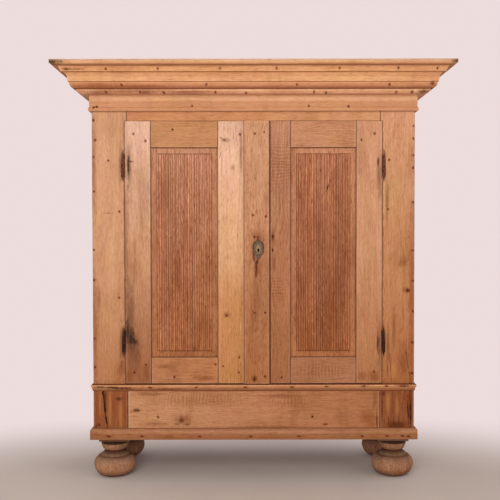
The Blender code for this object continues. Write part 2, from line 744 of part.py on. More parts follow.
def hinge_pair(word, side, height, carcass, door):
    """One hinge: the lower knuckle and pin on the frame, the bored upper knuckle on the door."""
    centre = (side * HINGE_X, HINGE_Y, height)
    pin = [(BARREL_RADIUS, -JOINT_GAP), (PIN_RADIUS, -JOINT_GAP), (PIN_RADIUS, PIN_REACH), (0, PIN_REACH)]
    lower = turned("hinge_frame_" + word, barrel_end(-1, 0)[::-1] + pin, BARREL_SIDES, centre)
    join(lower, leaf("leaf", side, 1, height - LEAF_OFF_MIDDLE - LEAF_LENGTH, 0))
    finish(lower, DARK_IRON, carcass)
    bore = PIN_RADIUS + JOINT_GAP
    depth = PIN_REACH + JOINT_GAP
    socket = [(0, depth), (bore, depth), (bore, JOINT_GAP), (BARREL_RADIUS, JOINT_GAP)]
    upper = turned("hinge_door_" + word, socket + barrel_end(1, 0), BARREL_SIDES, centre)
    join(upper, leaf("leaf", side, -1, height + LEAF_OFF_MIDDLE, 0))
    finish(upper, DARK_IRON, door)


def hinges(carcass, doors):
    for side, word in ((-1, "left"), (1, "right")):
        hinge_pair("upper_" + word, side, UPPER_HINGE_HEIGHT, carcass, doors[side])
        hinge_pair("lower_" + word, side, LOWER_HINGE_HEIGHT, carcass, doors[side])


def door_tenon_spans():
    """Heights of the tenons of a door's bottom rail and top rail."""
    clear = TONGUE_DEPTH + GROOVE_SPARE + ARRIS
    return (
        (DOOR_BOTTOM + DOOR_TENON_SHOULDER, PANEL_BOTTOM - clear),
        (PANEL_TOP + clear, DOOR_TOP - DOOR_TENON_SHOULDER),
    )


def door_upright(name, outer, inner):
    """A door stile between two values of X, grooved and mortised along its inner edge."""
    stile = board(name, (outer, inner), (FRONT, DOOR_BACK), (DOOR_BOTTOM, DOOR_TOP))
    away = 1 if outer > inner else -1
    groove_floor = inner + away * (TONGUE_DEPTH + GROOVE_SPARE)
    mortise_floor = inner + away * (DOOR_TENON_LENGTH + JOINT_GAP)
    mouth = inner - away * OVERRUN
    slot = (TONGUE_FRONT - JOINT_GAP, TONGUE_BACK + JOINT_GAP)
    spare = TONGUE_DEPTH + GROOVE_SPARE
    cut(stile, box("groove", (mouth, groove_floor), slot, (PANEL_BOTTOM - spare, PANEL_TOP + spare)))
    for low, high in door_tenon_spans():
        cut(stile, box("mortise", (mouth, mortise_floor), slot, (low - JOINT_GAP, high + JOINT_GAP)))
    return stile


def door_rail(name, left, right, low, high, tenon, groove_up, body):
    """A door rail with a tenon at each end and a groove for the panel."""
    rail = board(name, (left + JOINT_GAP, right - JOINT_GAP), (FRONT, DOOR_BACK), (low, high))
    slot = (TONGUE_FRONT - JOINT_GAP, TONGUE_BACK + JOINT_GAP)
    depth = TONGUE_DEPTH + GROOVE_SPARE
    cut_pair = (high - depth, high + OVERRUN) if groove_up else (low - OVERRUN, low + depth)
    cut(rail, box("groove", (left - OVERRUN, right + OVERRUN), slot, cut_pair))
    for edge, away in ((left, -1), (right, 1)):
        reach = (edge - away * OVERRUN, edge + away * DOOR_TENON_LENGTH)
        join(rail, box("tenon", reach, (TONGUE_FRONT, TONGUE_BACK), tenon))
    finish(rail, HONEY_OAK, body)


def door_rails(word, left, right, body):
    bottom_tenon, top_tenon = door_tenon_spans()
    door_rail(word + "_bottom_rail", left, right, DOOR_BOTTOM, PANEL_BOTTOM, bottom_tenon, True, body)
    door_rail(word + "_top_rail", left, right, PANEL_TOP, DOOR_TOP, top_tenon, False, body)


def reeded_field(left, right, low, high):
    """The middle of a panel: upright reeds side by side, standing on the bevelled board."""
    crest = TONGUE_FRONT - FIELD_RISE
    pitch = (right - left) / REED_COUNT
    outline = [(left, TONGUE_BACK - TONGUE_THICKNESS / 2)]
    for reed in range(REED_COUNT):
        for step in range(REED_FACETS):
            angle = pi * step / REED_FACETS
            across = pitch * (1 - cos(angle)) / 2
            outline.append((left + reed * pitch + across, crest + REED_DEPTH * (1 - sin(angle))))
    outline.append((right, crest + REED_DEPTH))
    outline.append((right, TONGUE_BACK - TONGUE_THICKNESS / 2))
    return loft("field", [(x, y, low) for x, y in outline], [(x, y, high) for x, y in outline])


def panel(name, left, right, body):
    """A fielded panel: a tongue all round, a bevelled margin and the reeded field."""
    reach = TONGUE_DEPTH
    plate = box(
        name,
        (left - reach, right + reach),
        (TONGUE_FRONT, TONGUE_BACK),
        (PANEL_BOTTOM - reach, PANEL_TOP + reach),
    )
    margin = PANEL_BEVEL_WIDTH
    outer = rectangle(left, right, PANEL_BOTTOM, PANEL_TOP, TONGUE_FRONT + TONGUE_THICKNESS / 2)
    rim = rectangle(left, right, PANEL_BOTTOM, PANEL_TOP, TONGUE_FRONT)
    inner = rectangle(
        left + margin, right - margin, PANEL_BOTTOM + margin, PANEL_TOP - margin, TONGUE_FRONT - BEVEL_RISE
    )
    faces = [(0, 1, 2, 3), (8, 9, 10, 11)]
    for ring in (0, 4):
        faces += [(ring + i, ring + (i + 1) % 4, ring + (i + 1) % 4 + 4, ring + i + 4) for i in range(4)]
    join(plate, object_from("bevel", outer + rim + inner, faces))
    join(
        plate,
        reeded_field(left + margin, right - margin, PANEL_BOTTOM + margin, PANEL_TOP - margin),
    )
    finish(plate, RED_OAK, body)


def rectangle(left, right, low, high, y):
    return [(left, y, low), (right, y, low), (right, y, high), (left, y, high)]


def hinge_stile(word, side, door):
    """The outer stile of a door, cut for both hinges."""
    stile = door_upright(word + "_hinge_stile", side * DOOR_EDGE, side * HINGE_STILE_EDGE)
    for height in (LOWER_HINGE_HEIGHT, UPPER_HINGE_HEIGHT):
        cut(stile, barrel_recess(side, height))
        cut(stile, leaf("leaf_mortise", side, -1, height + LEAF_OFF_MIDDLE, JOINT_GAP))
    finish(stile, PALE_OAK, door)


def keyhole(front, back):
    """The keyhole as a solid: a round head with a slot below it."""
    half = KEYHOLE_SLOT_WIDTH / 2
    start = -radians(90) + half / KEYHOLE_RADIUS
    sweep = 2 * pi - 2 * (start + radians(90))
    outline = []
    for step in range(KEYHOLE_STEPS + 1):
        angle = start + sweep * step / KEYHOLE_STEPS
        x = KEYHOLE_X + KEYHOLE_RADIUS * cos(angle)
        outline.append((x, KEYHOLE_HEIGHT + KEYHOLE_RADIUS * sin(angle)))
    foot = KEYHOLE_HEIGHT - KEYHOLE_SLOT_DROP
    outline += [(KEYHOLE_X - half, foot), (KEYHOLE_X + half, foot)]
    return loft("keyhole", [(x, front, z) for x, z in outline], [(x, back, z) for x, z in outline])


def lock_stile(door):
    """The inner stile of the left door, which carries the strip and the lock."""
    stile = door_upright("left_lock_stile", LOCK_STILE_RIGHT, LOCK_STILE_LEFT)
    cut(stile, keyhole(FRONT - OVERRUN, DOOR_BACK + OVERRUN))
    finish(stile, PALE_OAK, door)


def centre_strip(door):
    """The planted strip that looks like a centre post and hides the meeting of the doors."""
    strip = board(
        "centre_strip", (STRIP_LEFT, STRIP_RIGHT), (STRIP_FRONT, FRONT - JOINT_GAP), (DOOR_BOTTOM, DOOR_TOP)
    )
    cut(strip, keyhole(STRIP_FRONT - OVERRUN, FRONT + OVERRUN))
    finish(strip, HONEY_OAK, door)


def escutcheon_outline(share, y):
    """The shield outline of the key plate at a share of its full size."""
    half_wide = share * ESCUTCHEON_WIDTH / 2
    half_high = share * ESCUTCHEON_HEIGHT / 2
    right = [(half_wide * a, half_high * b) for a, b in ESCUTCHEON_SHARES]
    left = [(-x, z) for x, z in right[-2:0:-1]]
    return [(KEYHOLE_X + x, y, KEYHOLE_HEIGHT + z) for x, z in right + left]


def escutcheon(door):
    """The key plate: a shield with a raised middle and the keyhole through it."""
    back = STRIP_FRONT - JOINT_GAP
    front = back - ESCUTCHEON_THICKNESS
    plate = loft("escutcheon", escutcheon_outline(1, back), escutcheon_outline(1, front))
    raised = loft(
        "raised",
        escutcheon_outline(RAISED_SHARE, front + ESCUTCHEON_THICKNESS / 2),
        escutcheon_outline(RAISED_SHARE * RAISED_SHARE, front - ESCUTCHEON_RAISE),
    )
    join(plate, raised)
    cut(plate, keyhole(front - ESCUTCHEON_RAISE - OVERRUN, back + OVERRUN))
    finish(plate, AGED_BRASS, door)


def bolt_block(name, left, right, extra):
    """The lock bolt's section between two values of X, or its slot where extra is the clearance."""
    half_thick = BOLT_THICKNESS / 2 + extra
    half_high = BOLT_HEIGHT / 2 + extra
    return box(
        name,
        (left, right),
        (BOLT_MIDDLE_Y - half_thick, BOLT_MIDDLE_Y + half_thick),
        (BOLT_HEIGHT_MIDDLE - half_high, BOLT_HEIGHT_MIDDLE + half_high),
    )


def lock(door, bolt_body):
    """The iron lock case on the back of the lock stile, and the bolt that slides in it."""
    left = LOCK_CASE_RIGHT - LOCK_CASE_WIDTH
    low = KEYHOLE_HEIGHT - LOCK_CASE_HEIGHT / 2
    high = KEYHOLE_HEIGHT + LOCK_CASE_HEIGHT / 2
    back = LOCK_CASE_FRONT + LOCK_CASE_THICKNESS
    case = box("lock_case", (left, LOCK_CASE_RIGHT), (LOCK_CASE_FRONT, back), (low, high))
    wall = LOCK_CASE_WALL
    hollow = box(
        "hollow",
        (left + wall, LOCK_CASE_RIGHT - wall),
        (LOCK_CASE_FRONT + wall, back - wall),
        (low + wall, high - wall),
    )
    cut(case, hollow)
    cut(case, bolt_block("bolt_slot", LOCK_CASE_RIGHT - wall - OVERRUN, LOCK_CASE_RIGHT + OVERRUN, JOINT_GAP))
    cut(case, keyhole(LOCK_CASE_FRONT - OVERRUN, LOCK_CASE_FRONT + wall + OVERRUN))
    finish(case, DARK_IRON, door)
    tip = LOCK_CASE_RIGHT - JOINT_GAP
    finish(bolt_block("lock_bolt", tip - BOLT_LENGTH, tip, 0), DARK_IRON, bolt_body)


def keeper(door):
    """The iron box on the back of the right door that takes the thrown bolt."""
    half = KEEPER_HEIGHT / 2
    block = box(
        "lock_keeper",
        (KEEPER_LEFT, KEEPER_LEFT + KEEPER_WIDTH),
        (LOCK_CASE_FRONT, LOCK_CASE_FRONT + KEEPER_THICKNESS),
        (BOLT_HEIGHT_MIDDLE - half, BOLT_HEIGHT_MIDDLE + half),
    )
    cut(block, bolt_block("pocket", KEEPER_LEFT - OVERRUN, KEEPER_LEFT + KEEPER_POCKET, KEEPER_CLEARANCE))
    finish(block, DARK_IRON, door)


def left_door(door, bolt_body):
    hinge_stile("left", -1, door)
    lock_stile(door)
    door_rails("left", -HINGE_STILE_EDGE, LOCK_STILE_LEFT, door)
    panel("left_panel", -HINGE_STILE_EDGE, LOCK_STILE_LEFT, door)
    centre_strip(door)
    escutcheon(door)
    lock(door, bolt_body)


def right_door(door):
    hinge_stile("right", 1, door)
    stile = door_upright("right_meeting_stile", MEETING_STILE_LEFT, MEETING_STILE_RIGHT)
    finish(stile, RED_OAK, door)
    door_rails("right", MEETING_STILE_RIGHT, HINGE_STILE_EDGE, door)
    panel("right_panel", MEETING_STILE_RIGHT, HINGE_STILE_EDGE, door)
    keeper(door)


def build():
    clear_scene()
    carcass = pivot("carcass", (0, 0, 0))
    left = pivot("left_door", (-HINGE_X, HINGE_Y, 0), carcass)
    right = pivot("right_door", (HINGE_X, HINGE_Y, 0), carcass)
    bolt_body = pivot("bolt", (LOCK_CASE_RIGHT, BOLT_MIDDLE_Y, BOLT_HEIGHT_MIDDLE), left)
    corner_stiles(carcass)
    front_rails(carcass)
    sides(carcass)
    back_boards(carcass)
    floor_and_top(carcass)
    frieze(carcass)
    bed_mould(carcass)
    crown_mould(carcass)
    tablet(carcass)
    waist_mould(carcass)
    plinth_mould(carcass)
    bearers(carcass)
    feet(carcass)
    hanging_rail(carcass)
    left_door(left, bolt_body)
    right_door(right)
    hinges(carcass, {-1: left, 1: right})


build()
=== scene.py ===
# %% [markdown]
# # An old oak wardrobe
#
# The wardrobe is a scrubbed oak cupboard with a stepped cornice, two doors with reeded panels and four
# bun feet. Its solids come ready made, and this lesson gives them their looks: grain, wear, nails, rust
# and dirt. The solids are loaded first, because every piece made here sits on one of them.

import json
import math
import random
from functools import partial

import bpy
from mathutils import Matrix, Vector
from mathutils.bvhtree import BVHTree

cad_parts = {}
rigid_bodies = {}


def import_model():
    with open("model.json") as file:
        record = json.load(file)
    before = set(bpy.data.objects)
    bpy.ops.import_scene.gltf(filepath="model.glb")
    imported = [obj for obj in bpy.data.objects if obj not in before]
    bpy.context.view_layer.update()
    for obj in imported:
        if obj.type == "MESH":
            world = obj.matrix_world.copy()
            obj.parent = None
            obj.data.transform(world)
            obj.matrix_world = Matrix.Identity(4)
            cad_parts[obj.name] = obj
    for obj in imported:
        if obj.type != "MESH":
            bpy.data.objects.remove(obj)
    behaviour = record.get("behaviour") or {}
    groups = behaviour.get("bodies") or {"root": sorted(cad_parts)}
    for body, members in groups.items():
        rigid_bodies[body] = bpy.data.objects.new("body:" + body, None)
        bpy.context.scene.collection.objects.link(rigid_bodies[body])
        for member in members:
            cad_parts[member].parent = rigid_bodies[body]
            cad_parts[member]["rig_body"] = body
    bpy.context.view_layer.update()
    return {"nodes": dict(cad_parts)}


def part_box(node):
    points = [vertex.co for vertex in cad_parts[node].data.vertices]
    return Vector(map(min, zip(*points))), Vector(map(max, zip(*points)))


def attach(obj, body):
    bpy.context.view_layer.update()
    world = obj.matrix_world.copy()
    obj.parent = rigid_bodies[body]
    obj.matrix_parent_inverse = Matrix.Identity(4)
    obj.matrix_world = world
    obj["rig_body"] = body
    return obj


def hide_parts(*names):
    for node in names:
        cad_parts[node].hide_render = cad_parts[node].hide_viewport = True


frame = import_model()
nodes = frame["nodes"]
bpy.ops.object.select_all(action="DESELECT")
print("solids loaded:", len(nodes))

# %% [markdown]
# ## Camera
#
# The camera stands in front of the doors, a little over a metre above the floor, and looks slightly
# down. Its place comes from fitting the wardrobe's straight edges to the photograph. It is made first,
# because nails and stains are placed by their column and row in the picture: a ray through that spot
# meets the wood where the nail sits.

# %% Make the camera
IMAGE_SIDE = 500
FOCAL_PIXELS = 740
SENSOR_WIDTH = 36
CAMERA_PLACE = Vector((-0.0224, -3.6150, 1.1578))
CAMERA_PITCH = math.radians(-1.342)
CAMERA_YAW = math.radians(-0.099)
CAMERA_ROLL = math.radians(-0.091)

camera_data = bpy.data.cameras.new("camera")
camera_data.sensor_width = SENSOR_WIDTH
camera_data.lens = FOCAL_PIXELS * SENSOR_WIDTH / IMAGE_SIDE
camera = bpy.data.objects.new("camera", camera_data)
bpy.context.scene.collection.objects.link(camera)
camera_turn = (
    Matrix.Rotation(CAMERA_YAW, 4, "Z")
    @ Matrix.Rotation(math.radians(90) + CAMERA_PITCH, 4, "X")
    @ Matrix.Rotation(CAMERA_ROLL, 4, "Z")
)
camera.matrix_world = Matrix.Translation(CAMERA_PLACE) @ camera_turn
bpy.context.scene.camera = camera

# %% [markdown]
# ## Where the mouldings sit
#
# A profile is a stack of members: fascia, cove, ovolo, bead. The members' edges catch light and dirt,
# so the eye reads a cornice by their heights. Here a few edges settle by some millimetres from the
# solids' heights to those that the photograph shows. Each moulding has a list of pairs, the old height
# and the new one, and what lies between two of them moves in proportion.

# %% Settle the mouldings
WAIST_FOOT, WAIST_TOP = (corner[2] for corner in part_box("waist_mould_front"))
PLINTH_FOOT, PLINTH_TOP = (corner[2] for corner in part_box("plinth_mould_front"))
CROWN_FOOT, CROWN_HEAD = (corner[2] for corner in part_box("crown_mould_front"))
COVE_SHARE, OVOLO_SHARE = 0.72, 0.30
COVE_HEAD = CROWN_FOOT + COVE_SHARE * (CROWN_HEAD - CROWN_FOOT)
OVOLO_HEAD = CROWN_FOOT + OVOLO_SHARE * (CROWN_HEAD - CROWN_FOOT)
BED_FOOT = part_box("bed_mould_front")[0][2]
WAIST_DROP, PLINTH_DROP, OVOLO_DROP, COVE_DROP = 0.0062, 0.0045, 0.0058, 0.0042
WAIST_EDGE = WAIST_FOOT - WAIST_DROP
PLINTH_EDGE = PLINTH_TOP - PLINTH_DROP
OVOLO_EDGE = CROWN_FOOT - OVOLO_DROP
COVE_EDGE = OVOLO_HEAD - COVE_DROP
CORNICE_LEVELS = (
    (BED_FOOT, BED_FOOT), (CROWN_FOOT, OVOLO_EDGE), (OVOLO_HEAD, COVE_EDGE), (COVE_HEAD, COVE_HEAD)
)
SETTLING = {
    "crown_mould": CORNICE_LEVELS,
    "bed_mould": CORNICE_LEVELS,
    "waist_mould": ((WAIST_FOOT, WAIST_EDGE), (WAIST_TOP, WAIST_TOP)),
    "plinth_mould": ((PLINTH_FOOT, PLINTH_FOOT), (PLINTH_TOP, PLINTH_EDGE)),
}


def settled(node, height):
    """The height that a level of a solid has in the picture; only mouldings settle."""
    levels = SETTLING.get(node.rsplit("_", 1)[0])
    if not levels:
        return height
    for (old_low, new_low), (old_high, new_high) in zip(levels, levels[1:]):
        if old_low <= height <= old_high:
            return new_low + (height - old_low) / (old_high - old_low) * (new_high - new_low)
    old, new = levels[0] if height < levels[0][0] else levels[-1]
    return height + new - old


def settle(piece, node):
    """Moves the levels of a moulding to their settled heights."""
    for vertex in piece.data.vertices:
        vertex.co.z = settled(node, vertex.co.z)


print("mouldings that settle:", ", ".join(SETTLING))

# %% [markdown]
# ## Meeting the wood
#
# A ray from the camera through a spot of the picture ends on the solid that is seen there. Stains, nails
# and cracks are placed in this way.

# %% Send rays to the solids
surfaces = {}


def surface_of(name):
    """The faces of a solid, ready to be met by rays."""
    if name not in surfaces:
        mesh = nodes[name].data
        corners = [(*vertex.co.xy, settled(name, vertex.co.z)) for vertex in mesh.vertices]
        surfaces[name] = BVHTree.FromPolygons(corners, [polygon.vertices for polygon in mesh.polygons])
    return surfaces[name]


def on_node(name, column, row):
    """Where the ray through a spot of the picture meets a solid, and the way the surface faces there."""
    middle = IMAGE_SIDE / 2
    ray = Vector((column - middle, middle - row, -FOCAL_PIXELS))
    ray = (camera_turn.to_3x3() @ ray).normalized()
    place, normal, _, _ = surface_of(name).ray_cast(CAMERA_PLACE, ray)
    if place is None:
        raise ValueError(f"the spot {column}, {row} isn't on {name}")
    return place, normal


print("keyhole side of the strip:", on_node("centre_strip", 250, 250)[0])

# %% [markdown]
# ## Small helpers for shader nodes
#
# A wood shader has many nodes, so a few short helpers keep the recipes readable. Each one adds a node,
# links or sets its inputs, and gives back the output that the next step needs. The tree is found from
# the outputs that go in, so a recipe reads like plain arithmetic.

# %% Node helpers
NODES_IN_ROW = 9
NODE_WIDTH = 220
NODE_HEIGHT = 280


def fill(made, inputs):
    """Sets each input of a node to a value, or links it to an output."""
    for name, value in inputs.items():
        if isinstance(value, bpy.types.NodeSocket):
            made.id_data.links.new(value, made.inputs[name])
        else:
            made.inputs[name].default_value = value


def add(tree, kind, inputs=None, **settings):
    """A node with its settings and inputs, set down in rows."""
    made = tree.nodes.new("ShaderNode" + kind)
    for name, value in settings.items():
        setattr(made, name, value)
    fill(made, inputs or {})
    row, column = divmod(len(tree.nodes), NODES_IN_ROW)
    made.location = (column * NODE_WIDTH, -row * NODE_HEIGHT)
    return made


def tree_of(*values):
    """The node tree of the first output among some values."""
    return next(value.id_data for value in values if isinstance(value, bpy.types.NodeSocket))


def calc(operation, first, second=0.0, clamp=False):
    inputs = {0: first, 1: second}
    return add(tree_of(first, second), "Math", inputs, operation=operation, use_clamp=clamp).outputs[0]


plus, minus, times, least, most = (
    partial(calc, operation) for operation in ("ADD", "SUBTRACT", "MULTIPLY", "MINIMUM", "MAXIMUM")
)


def swing(value, size):
    """A noise that lies round 0.5, turned into a swing round zero."""
    return times(minus(value, 0.5), size)


def vector_calc(operation, first, second=(0, 0, 0)):
    """A step of vector maths. Lengths and dot products are numbers, and the rest are vectors."""
    made = add(tree_of(first, second), "VectorMath", {0: first, 1: second}, operation=operation)
    return made.outputs["Value" if operation in ("LENGTH", "DOT_PRODUCT") else "Vector"]


def axes_of(vector):
    return add(vector.id_data, "SeparateXYZ", {0: vector}).outputs


def fade(value, start, end, low=0.0, high=1.0):
    """A smooth change from low to high as value goes from start to end."""
    inputs = {"Value": value, "From Min": start, "From Max": end, "To Min": low, "To Max": high}
    return add(value.id_data, "MapRange", inputs, interpolation_type="SMOOTHSTEP").outputs["Result"]


def mix(factor, first, second, blend="MIX"):
    inputs = {0: factor, 6: first, 7: second}
    tree = tree_of(factor, first, second)
    return add(tree, "Mix", inputs, data_type="RGBA", blend_type=blend).outputs[2]


def noise(vector, scale=1.0, detail=2.0, roughness=0.5, distortion=0.0, output=0):
    inputs = {"Vector": vector, "Scale": scale, "Detail": detail}
    inputs.update({"Roughness": roughness, "Distortion": distortion})
    return add(vector.id_data, "TexNoise", inputs).outputs[output]


def new_group(name, inputs, outputs):
    """An empty node group with its input values. Gives it back with its input sockets and its end node."""
    group = bpy.data.node_groups.new(name, "ShaderNodeTree")
    for label, value in inputs.items():
        kind = "Float" if isinstance(value, float) else {3: "Vector", 4: "Color"}[len(value)]
        socket = group.interface.new_socket(label, in_out="INPUT", socket_type="NodeSocket" + kind)
        socket.default_value = value
    for label, kind in outputs.items():
        group.interface.new_socket(label, in_out="OUTPUT", socket_type="NodeSocket" + kind)
    return group, group.nodes.new("NodeGroupInput").outputs, group.nodes.new("NodeGroupOutput")


def use(group, inputs):
    """The outputs of a group that is placed beside its inputs."""
    return add(tree_of(*inputs.values()), "Group", inputs, node_tree=group).outputs


def new_material(name):
    """A new material with its shader and the coordinates of its object."""
    material = bpy.data.materials.new(name)
    material.use_nodes = True
    tree = material.node_tree
    return material, tree.nodes["Principled BSDF"], add(tree, "TexCoord").outputs["Object"]


def finish_shader(shader, colour, roughness, specular, metallic=0.0, bump=None):
    """Gives a shader its looks. bump is a height with its strength and distance."""
    inputs = {"Base Color": colour, "Roughness": roughness, "Metallic": metallic}
    if bump:
        relief = dict(zip(("Height", "Strength", "Distance"), bump))
        inputs["Normal"] = add(shader.id_data, "Bump", relief).outputs["Normal"]
    fill(shader, {**inputs, "Specular IOR Level": specular})


def paint(red, green, blue):
    """A colour from the 0 to 255 values that a picture shows, as the linear values of a shader."""
    shares = [part / 255 for part in (red, green, blue)]
    linear = [share / 12.92 if share <= 0.04045 else ((share + 0.055) / 1.055) ** 2.4 for share in shares]
    return (*linear, 1)


print("helpers ready")

# %% [markdown]
# ## Oak grain
#
# Sawn oak shows several patterns at once: broad streaks of colour, narrow bands where the growth rings
# meet the face, arched figure where the saw ran along the rings, hair lines, and short dark pores. All
# are longer along the grain than across it. A photo texture would repeat and has no depth, so the
# pattern is built from noises stretched along Z. Each board turns and shifts the coordinates before
# they come in, so that its grain runs its own way and no two boards are alike.

# %% Build the oak grain group
LENGTHWISE = {
    "mottle": (9.0, 9.0, 3.6),
    "streak": (30.0, 30.0, 1.7),
    "band": (110.0, 110.0, 7.0),
    "hair": (270.0, 270.0, 17.0),
    "speck": (210.0, 210.0, 42.0),
    "pore": (900.0, 900.0, 70.0),
    "ring_bend": (6.0, 6.0, 1.6),
}
WEIGHTS = {"mottle": 1.1, "streak": 1.0, "band": 1.2, "hair": 1.8, "speck": 1.5}
FIELD_LOOK = (1.0, 4.0, 0.72, 0.4)
SPECK_LOOK = (1.0, 3.0, 0.6, 0.6)
RING_SHAPE = {"wave_type": "RINGS", "rings_direction": "Z", "wave_profile": "SAW"}
RING_LOOK = {"Scale": 46.0, "Distortion": 2.6, "Detail": 4.0, "Detail Scale": 2.5}
RING_BEND = (0.09, 0.09, 0.0)
PORE_RANGE = (0.56, 0.66)
PORE_DEPTH, FLECK_DEPTH = 0.18, 0.9
HOLLOWS = {"hair": 0.5, "band": 0.5}
PORE_HOLLOW = 0.8
HUE_SHIFT = (7.0, 3.0, 5.0)
HUE_LOOK = (1.6, 4.0, 0.65)
HUE_RANGE = (0.35, 0.65)
DARKENING = (0.30, 0.44, 0.56)
PINKER = (1.02, 0.975, 1.03, 1)
YELLOWER = (1.0, 1.005, 0.95, 1)

oak_grain, given, result = new_group(
    "oak_grain",
    {"Vector": (0, 0, 0), "Tint": (0.6, 0.4, 0.2, 1), "Contrast": 1.0, "Figure": 0.2, "Flecks": 0.3},
    {"Color": "Color", "Height": "Float"},
)
stretched = {name: vector_calc("MULTIPLY", given["Vector"], size) for name, size in LENGTHWISE.items()}
fields = {name: noise(stretched[name], *FIELD_LOOK) for name in WEIGHTS}
bend = vector_calc("SUBTRACT", noise(stretched["ring_bend"], output=1), (0.5, 0.5, 0.5))
ring_place = vector_calc("ADD", given["Vector"], vector_calc("MULTIPLY", bend, RING_BEND))
rings = add(oak_grain, "TexWave", {"Vector": ring_place, **RING_LOOK}, **RING_SHAPE).outputs[1]
pores = fade(noise(stretched["pore"], 1.0, 1.0), *PORE_RANGE)
flecks = times(fade(noise(stretched["speck"], *SPECK_LOOK), *PORE_RANGE), given["Flecks"])

depth = swing(rings, given["Figure"])
for name, weight in WEIGHTS.items():
    depth = plus(depth, swing(fields[name], weight))
depth = plus(times(depth, given["Contrast"]), times(pores, PORE_DEPTH))
depth = plus(depth, times(flecks, FLECK_DEPTH))
shade = vector_calc("SUBTRACT", (1.0, 1.0, 1.0), vector_calc("MULTIPLY", DARKENING, depth))
hue = fade(noise(vector_calc("ADD", stretched["mottle"], HUE_SHIFT), *HUE_LOOK), *HUE_RANGE)
tinted = mix(1.0, given["Tint"], mix(hue, PINKER, YELLOWER), "MULTIPLY")
hollow = times(pores, PORE_HOLLOW)
for name, share in HOLLOWS.items():
    hollow = plus(hollow, times(fields[name], share))
fill(result, {"Color": mix(1.0, tinted, shade, "MULTIPLY"), "Height": minus(1.0, hollow)})
print("oak grain group:", len(oak_grain.nodes), "nodes")

# %% [markdown]
# ## Dirt along the joints
#
# Where two boards meet, polish and dirt gather in a thin dark line, and the arris beside it is rubbed
# pale. The group measures how far a point of a board is from the nearest side of the board's box. Plain
# numbers for the box are enough, so no vertex data is needed. The box is made very deep across the face
# that shows, so that only the sides of that face count.

# %% Build the board edge group
board_edge, given, result = new_group(
    "board_edge", {"Vector": (0, 0, 0), "Low": (0, 0, 0), "High": (1, 1, 1)}, {"Distance": "Float"}
)
from_low = vector_calc("SUBTRACT", given["Vector"], given["Low"])
from_high = vector_calc("SUBTRACT", given["High"], given["Vector"])
parts = axes_of(vector_calc("MINIMUM", from_low, from_high))
fill(result, {"Distance": least(least(parts["X"], parts["Z"]), parts["Y"])})
print("board edge group:", len(board_edge.nodes), "nodes")

# %% [markdown]
# ## Marks and splits
#
# Iron nails stain oak blue-black, hands and water leave brown patches, and old boards split. A mark is
# a soft ellipsoid round one place, and a split is a thin line between two places, which thins out towards
# its ends. Both take a shared noise that makes their edges ragged. They are masks, so a board can hold
# as many as it needs.

# %% Build the mark and split groups
MARK_RAGGED = 1.6
MARK_RIM = (1.35, 0.05)
SPLIT_WANDER = 2.0
SPLIT_ENDS = ((0.0, 0.25, 0.35, 1.0), (1.0, 0.6, 0.25, 1.0))
SPLIT_RIM = (0.6, 0.35)
IN_FRONT = (1.0, 0.0, 1.0)

mark_group, given, result = new_group(
    "mark",
    {"Vector": (0, 0, 0), "Centre": (0, 0, 0), "Size": (0.01, 0.05, 0.01), "Noise": 0.5},
    {"Mask": "Float"},
)
offset = vector_calc("SUBTRACT", given["Vector"], given["Centre"])
far = vector_calc("LENGTH", vector_calc("DIVIDE", offset, given["Size"]))
fill(result, {"Mask": fade(plus(far, swing(given["Noise"], MARK_RAGGED)), *MARK_RIM)})

split_group, given, result = new_group(
    "split",
    {"Vector": (0, 0, 0), "Start": (0, 0, 0), "Along": (0, 0, 1), "Width": 0.002, "Noise": 0.5},
    {"Mask": "Float"},
)
offset = vector_calc("SUBTRACT", given["Vector"], given["Start"])
flat = vector_calc("MULTIPLY", offset, IN_FRONT)
dots = [vector_calc("DOT_PRODUCT", first, given["Along"]) for first in (flat, given["Along"])]
share = calc("DIVIDE", *dots, clamp=True)
gap = vector_calc("SUBTRACT", flat, vector_calc("MULTIPLY", given["Along"], share))
away = vector_calc("LENGTH", gap)
away = plus(away, times(swing(given["Noise"], given["Width"]), SPLIT_WANDER))
width = given["Width"]
for end in SPLIT_ENDS:
    width = times(width, fade(share, *end))
fill(result, {"Mask": fade(calc("DIVIDE", away, width), *SPLIT_RIM)})
print("mark and split groups ready")

# %% [markdown]
# ## The oak material
#
# One recipe serves every board. It takes the board's box, the way its grain runs, a row of tints along
# the board, and lists of marks and dark lines. The tints matter, because the old boards are paler where
# they were scrubbed and redder where they were not, and a moulding changes its tint from one member to
# the next. Most boards also grow darker towards the foot, and some moulding members are darker where they
# sit under others; there the tints are partly painted shade. The layers go on in this order, which for
# the real marks is the order in which they came to the wood: the grain, slow clouds of smoke, rippled
# figure, stains, rubbed edges, the dirt of the joints with dark lines that are partly dirt and partly
# painted shade, the dark halos of the nails, a dark line along each door's gap that is partly dirt and
# partly painted shade, and last the splits, which are also cut into the bump.

# %% Write the oak recipe
GRAIN_TURN = {"X": (0, math.radians(90), 0), "Y": (math.radians(90), 0, 0), "Z": (0, 0, 0)}
SEED_STEP = Vector((0.173, 0.291, 0.617))
WIDE = 5.0
ROUGH_SIZE = (95.0, 60.0, 38.0)
PATCH_SCALE = 3.2
ROUGH_LOOK = (1.0, 4.0, 0.65)
SMOKE_SIZE = (9.0, 9.0, 2.6)
SMOKE_LOOK = (1.0, 6.0, 0.68, 0.5)
SMOKE_RANGE = (0.44, 0.72)
SMOKE_DARK = (0.70, 0.62, 0.57, 1)
RIPPLE_WAVES = {"Scale": 21.0, "Distortion": 11.0, "Detail": 3.0, "Detail Scale": 0.45}
RIPPLE_DARK = (0.75, 0.67, 0.60, 1)
EDGE_WANDER = 0.004
RUBBED_EDGE, RUBBED_SHARE, RUBBED_PALE = (0.012, 0.004), 0.04, (1.0, 0.86, 0.70, 1.0)
DIRT_EDGE, DIRT_SHARE, JOINT_DIRT_AND_SHADE = (0.0042, 0.0002), 0.62, paint(98, 42, 16)
LINE_WANDER = 0.003
LINE_CORE = 0.4
SPLIT_DEPTH = 3.0
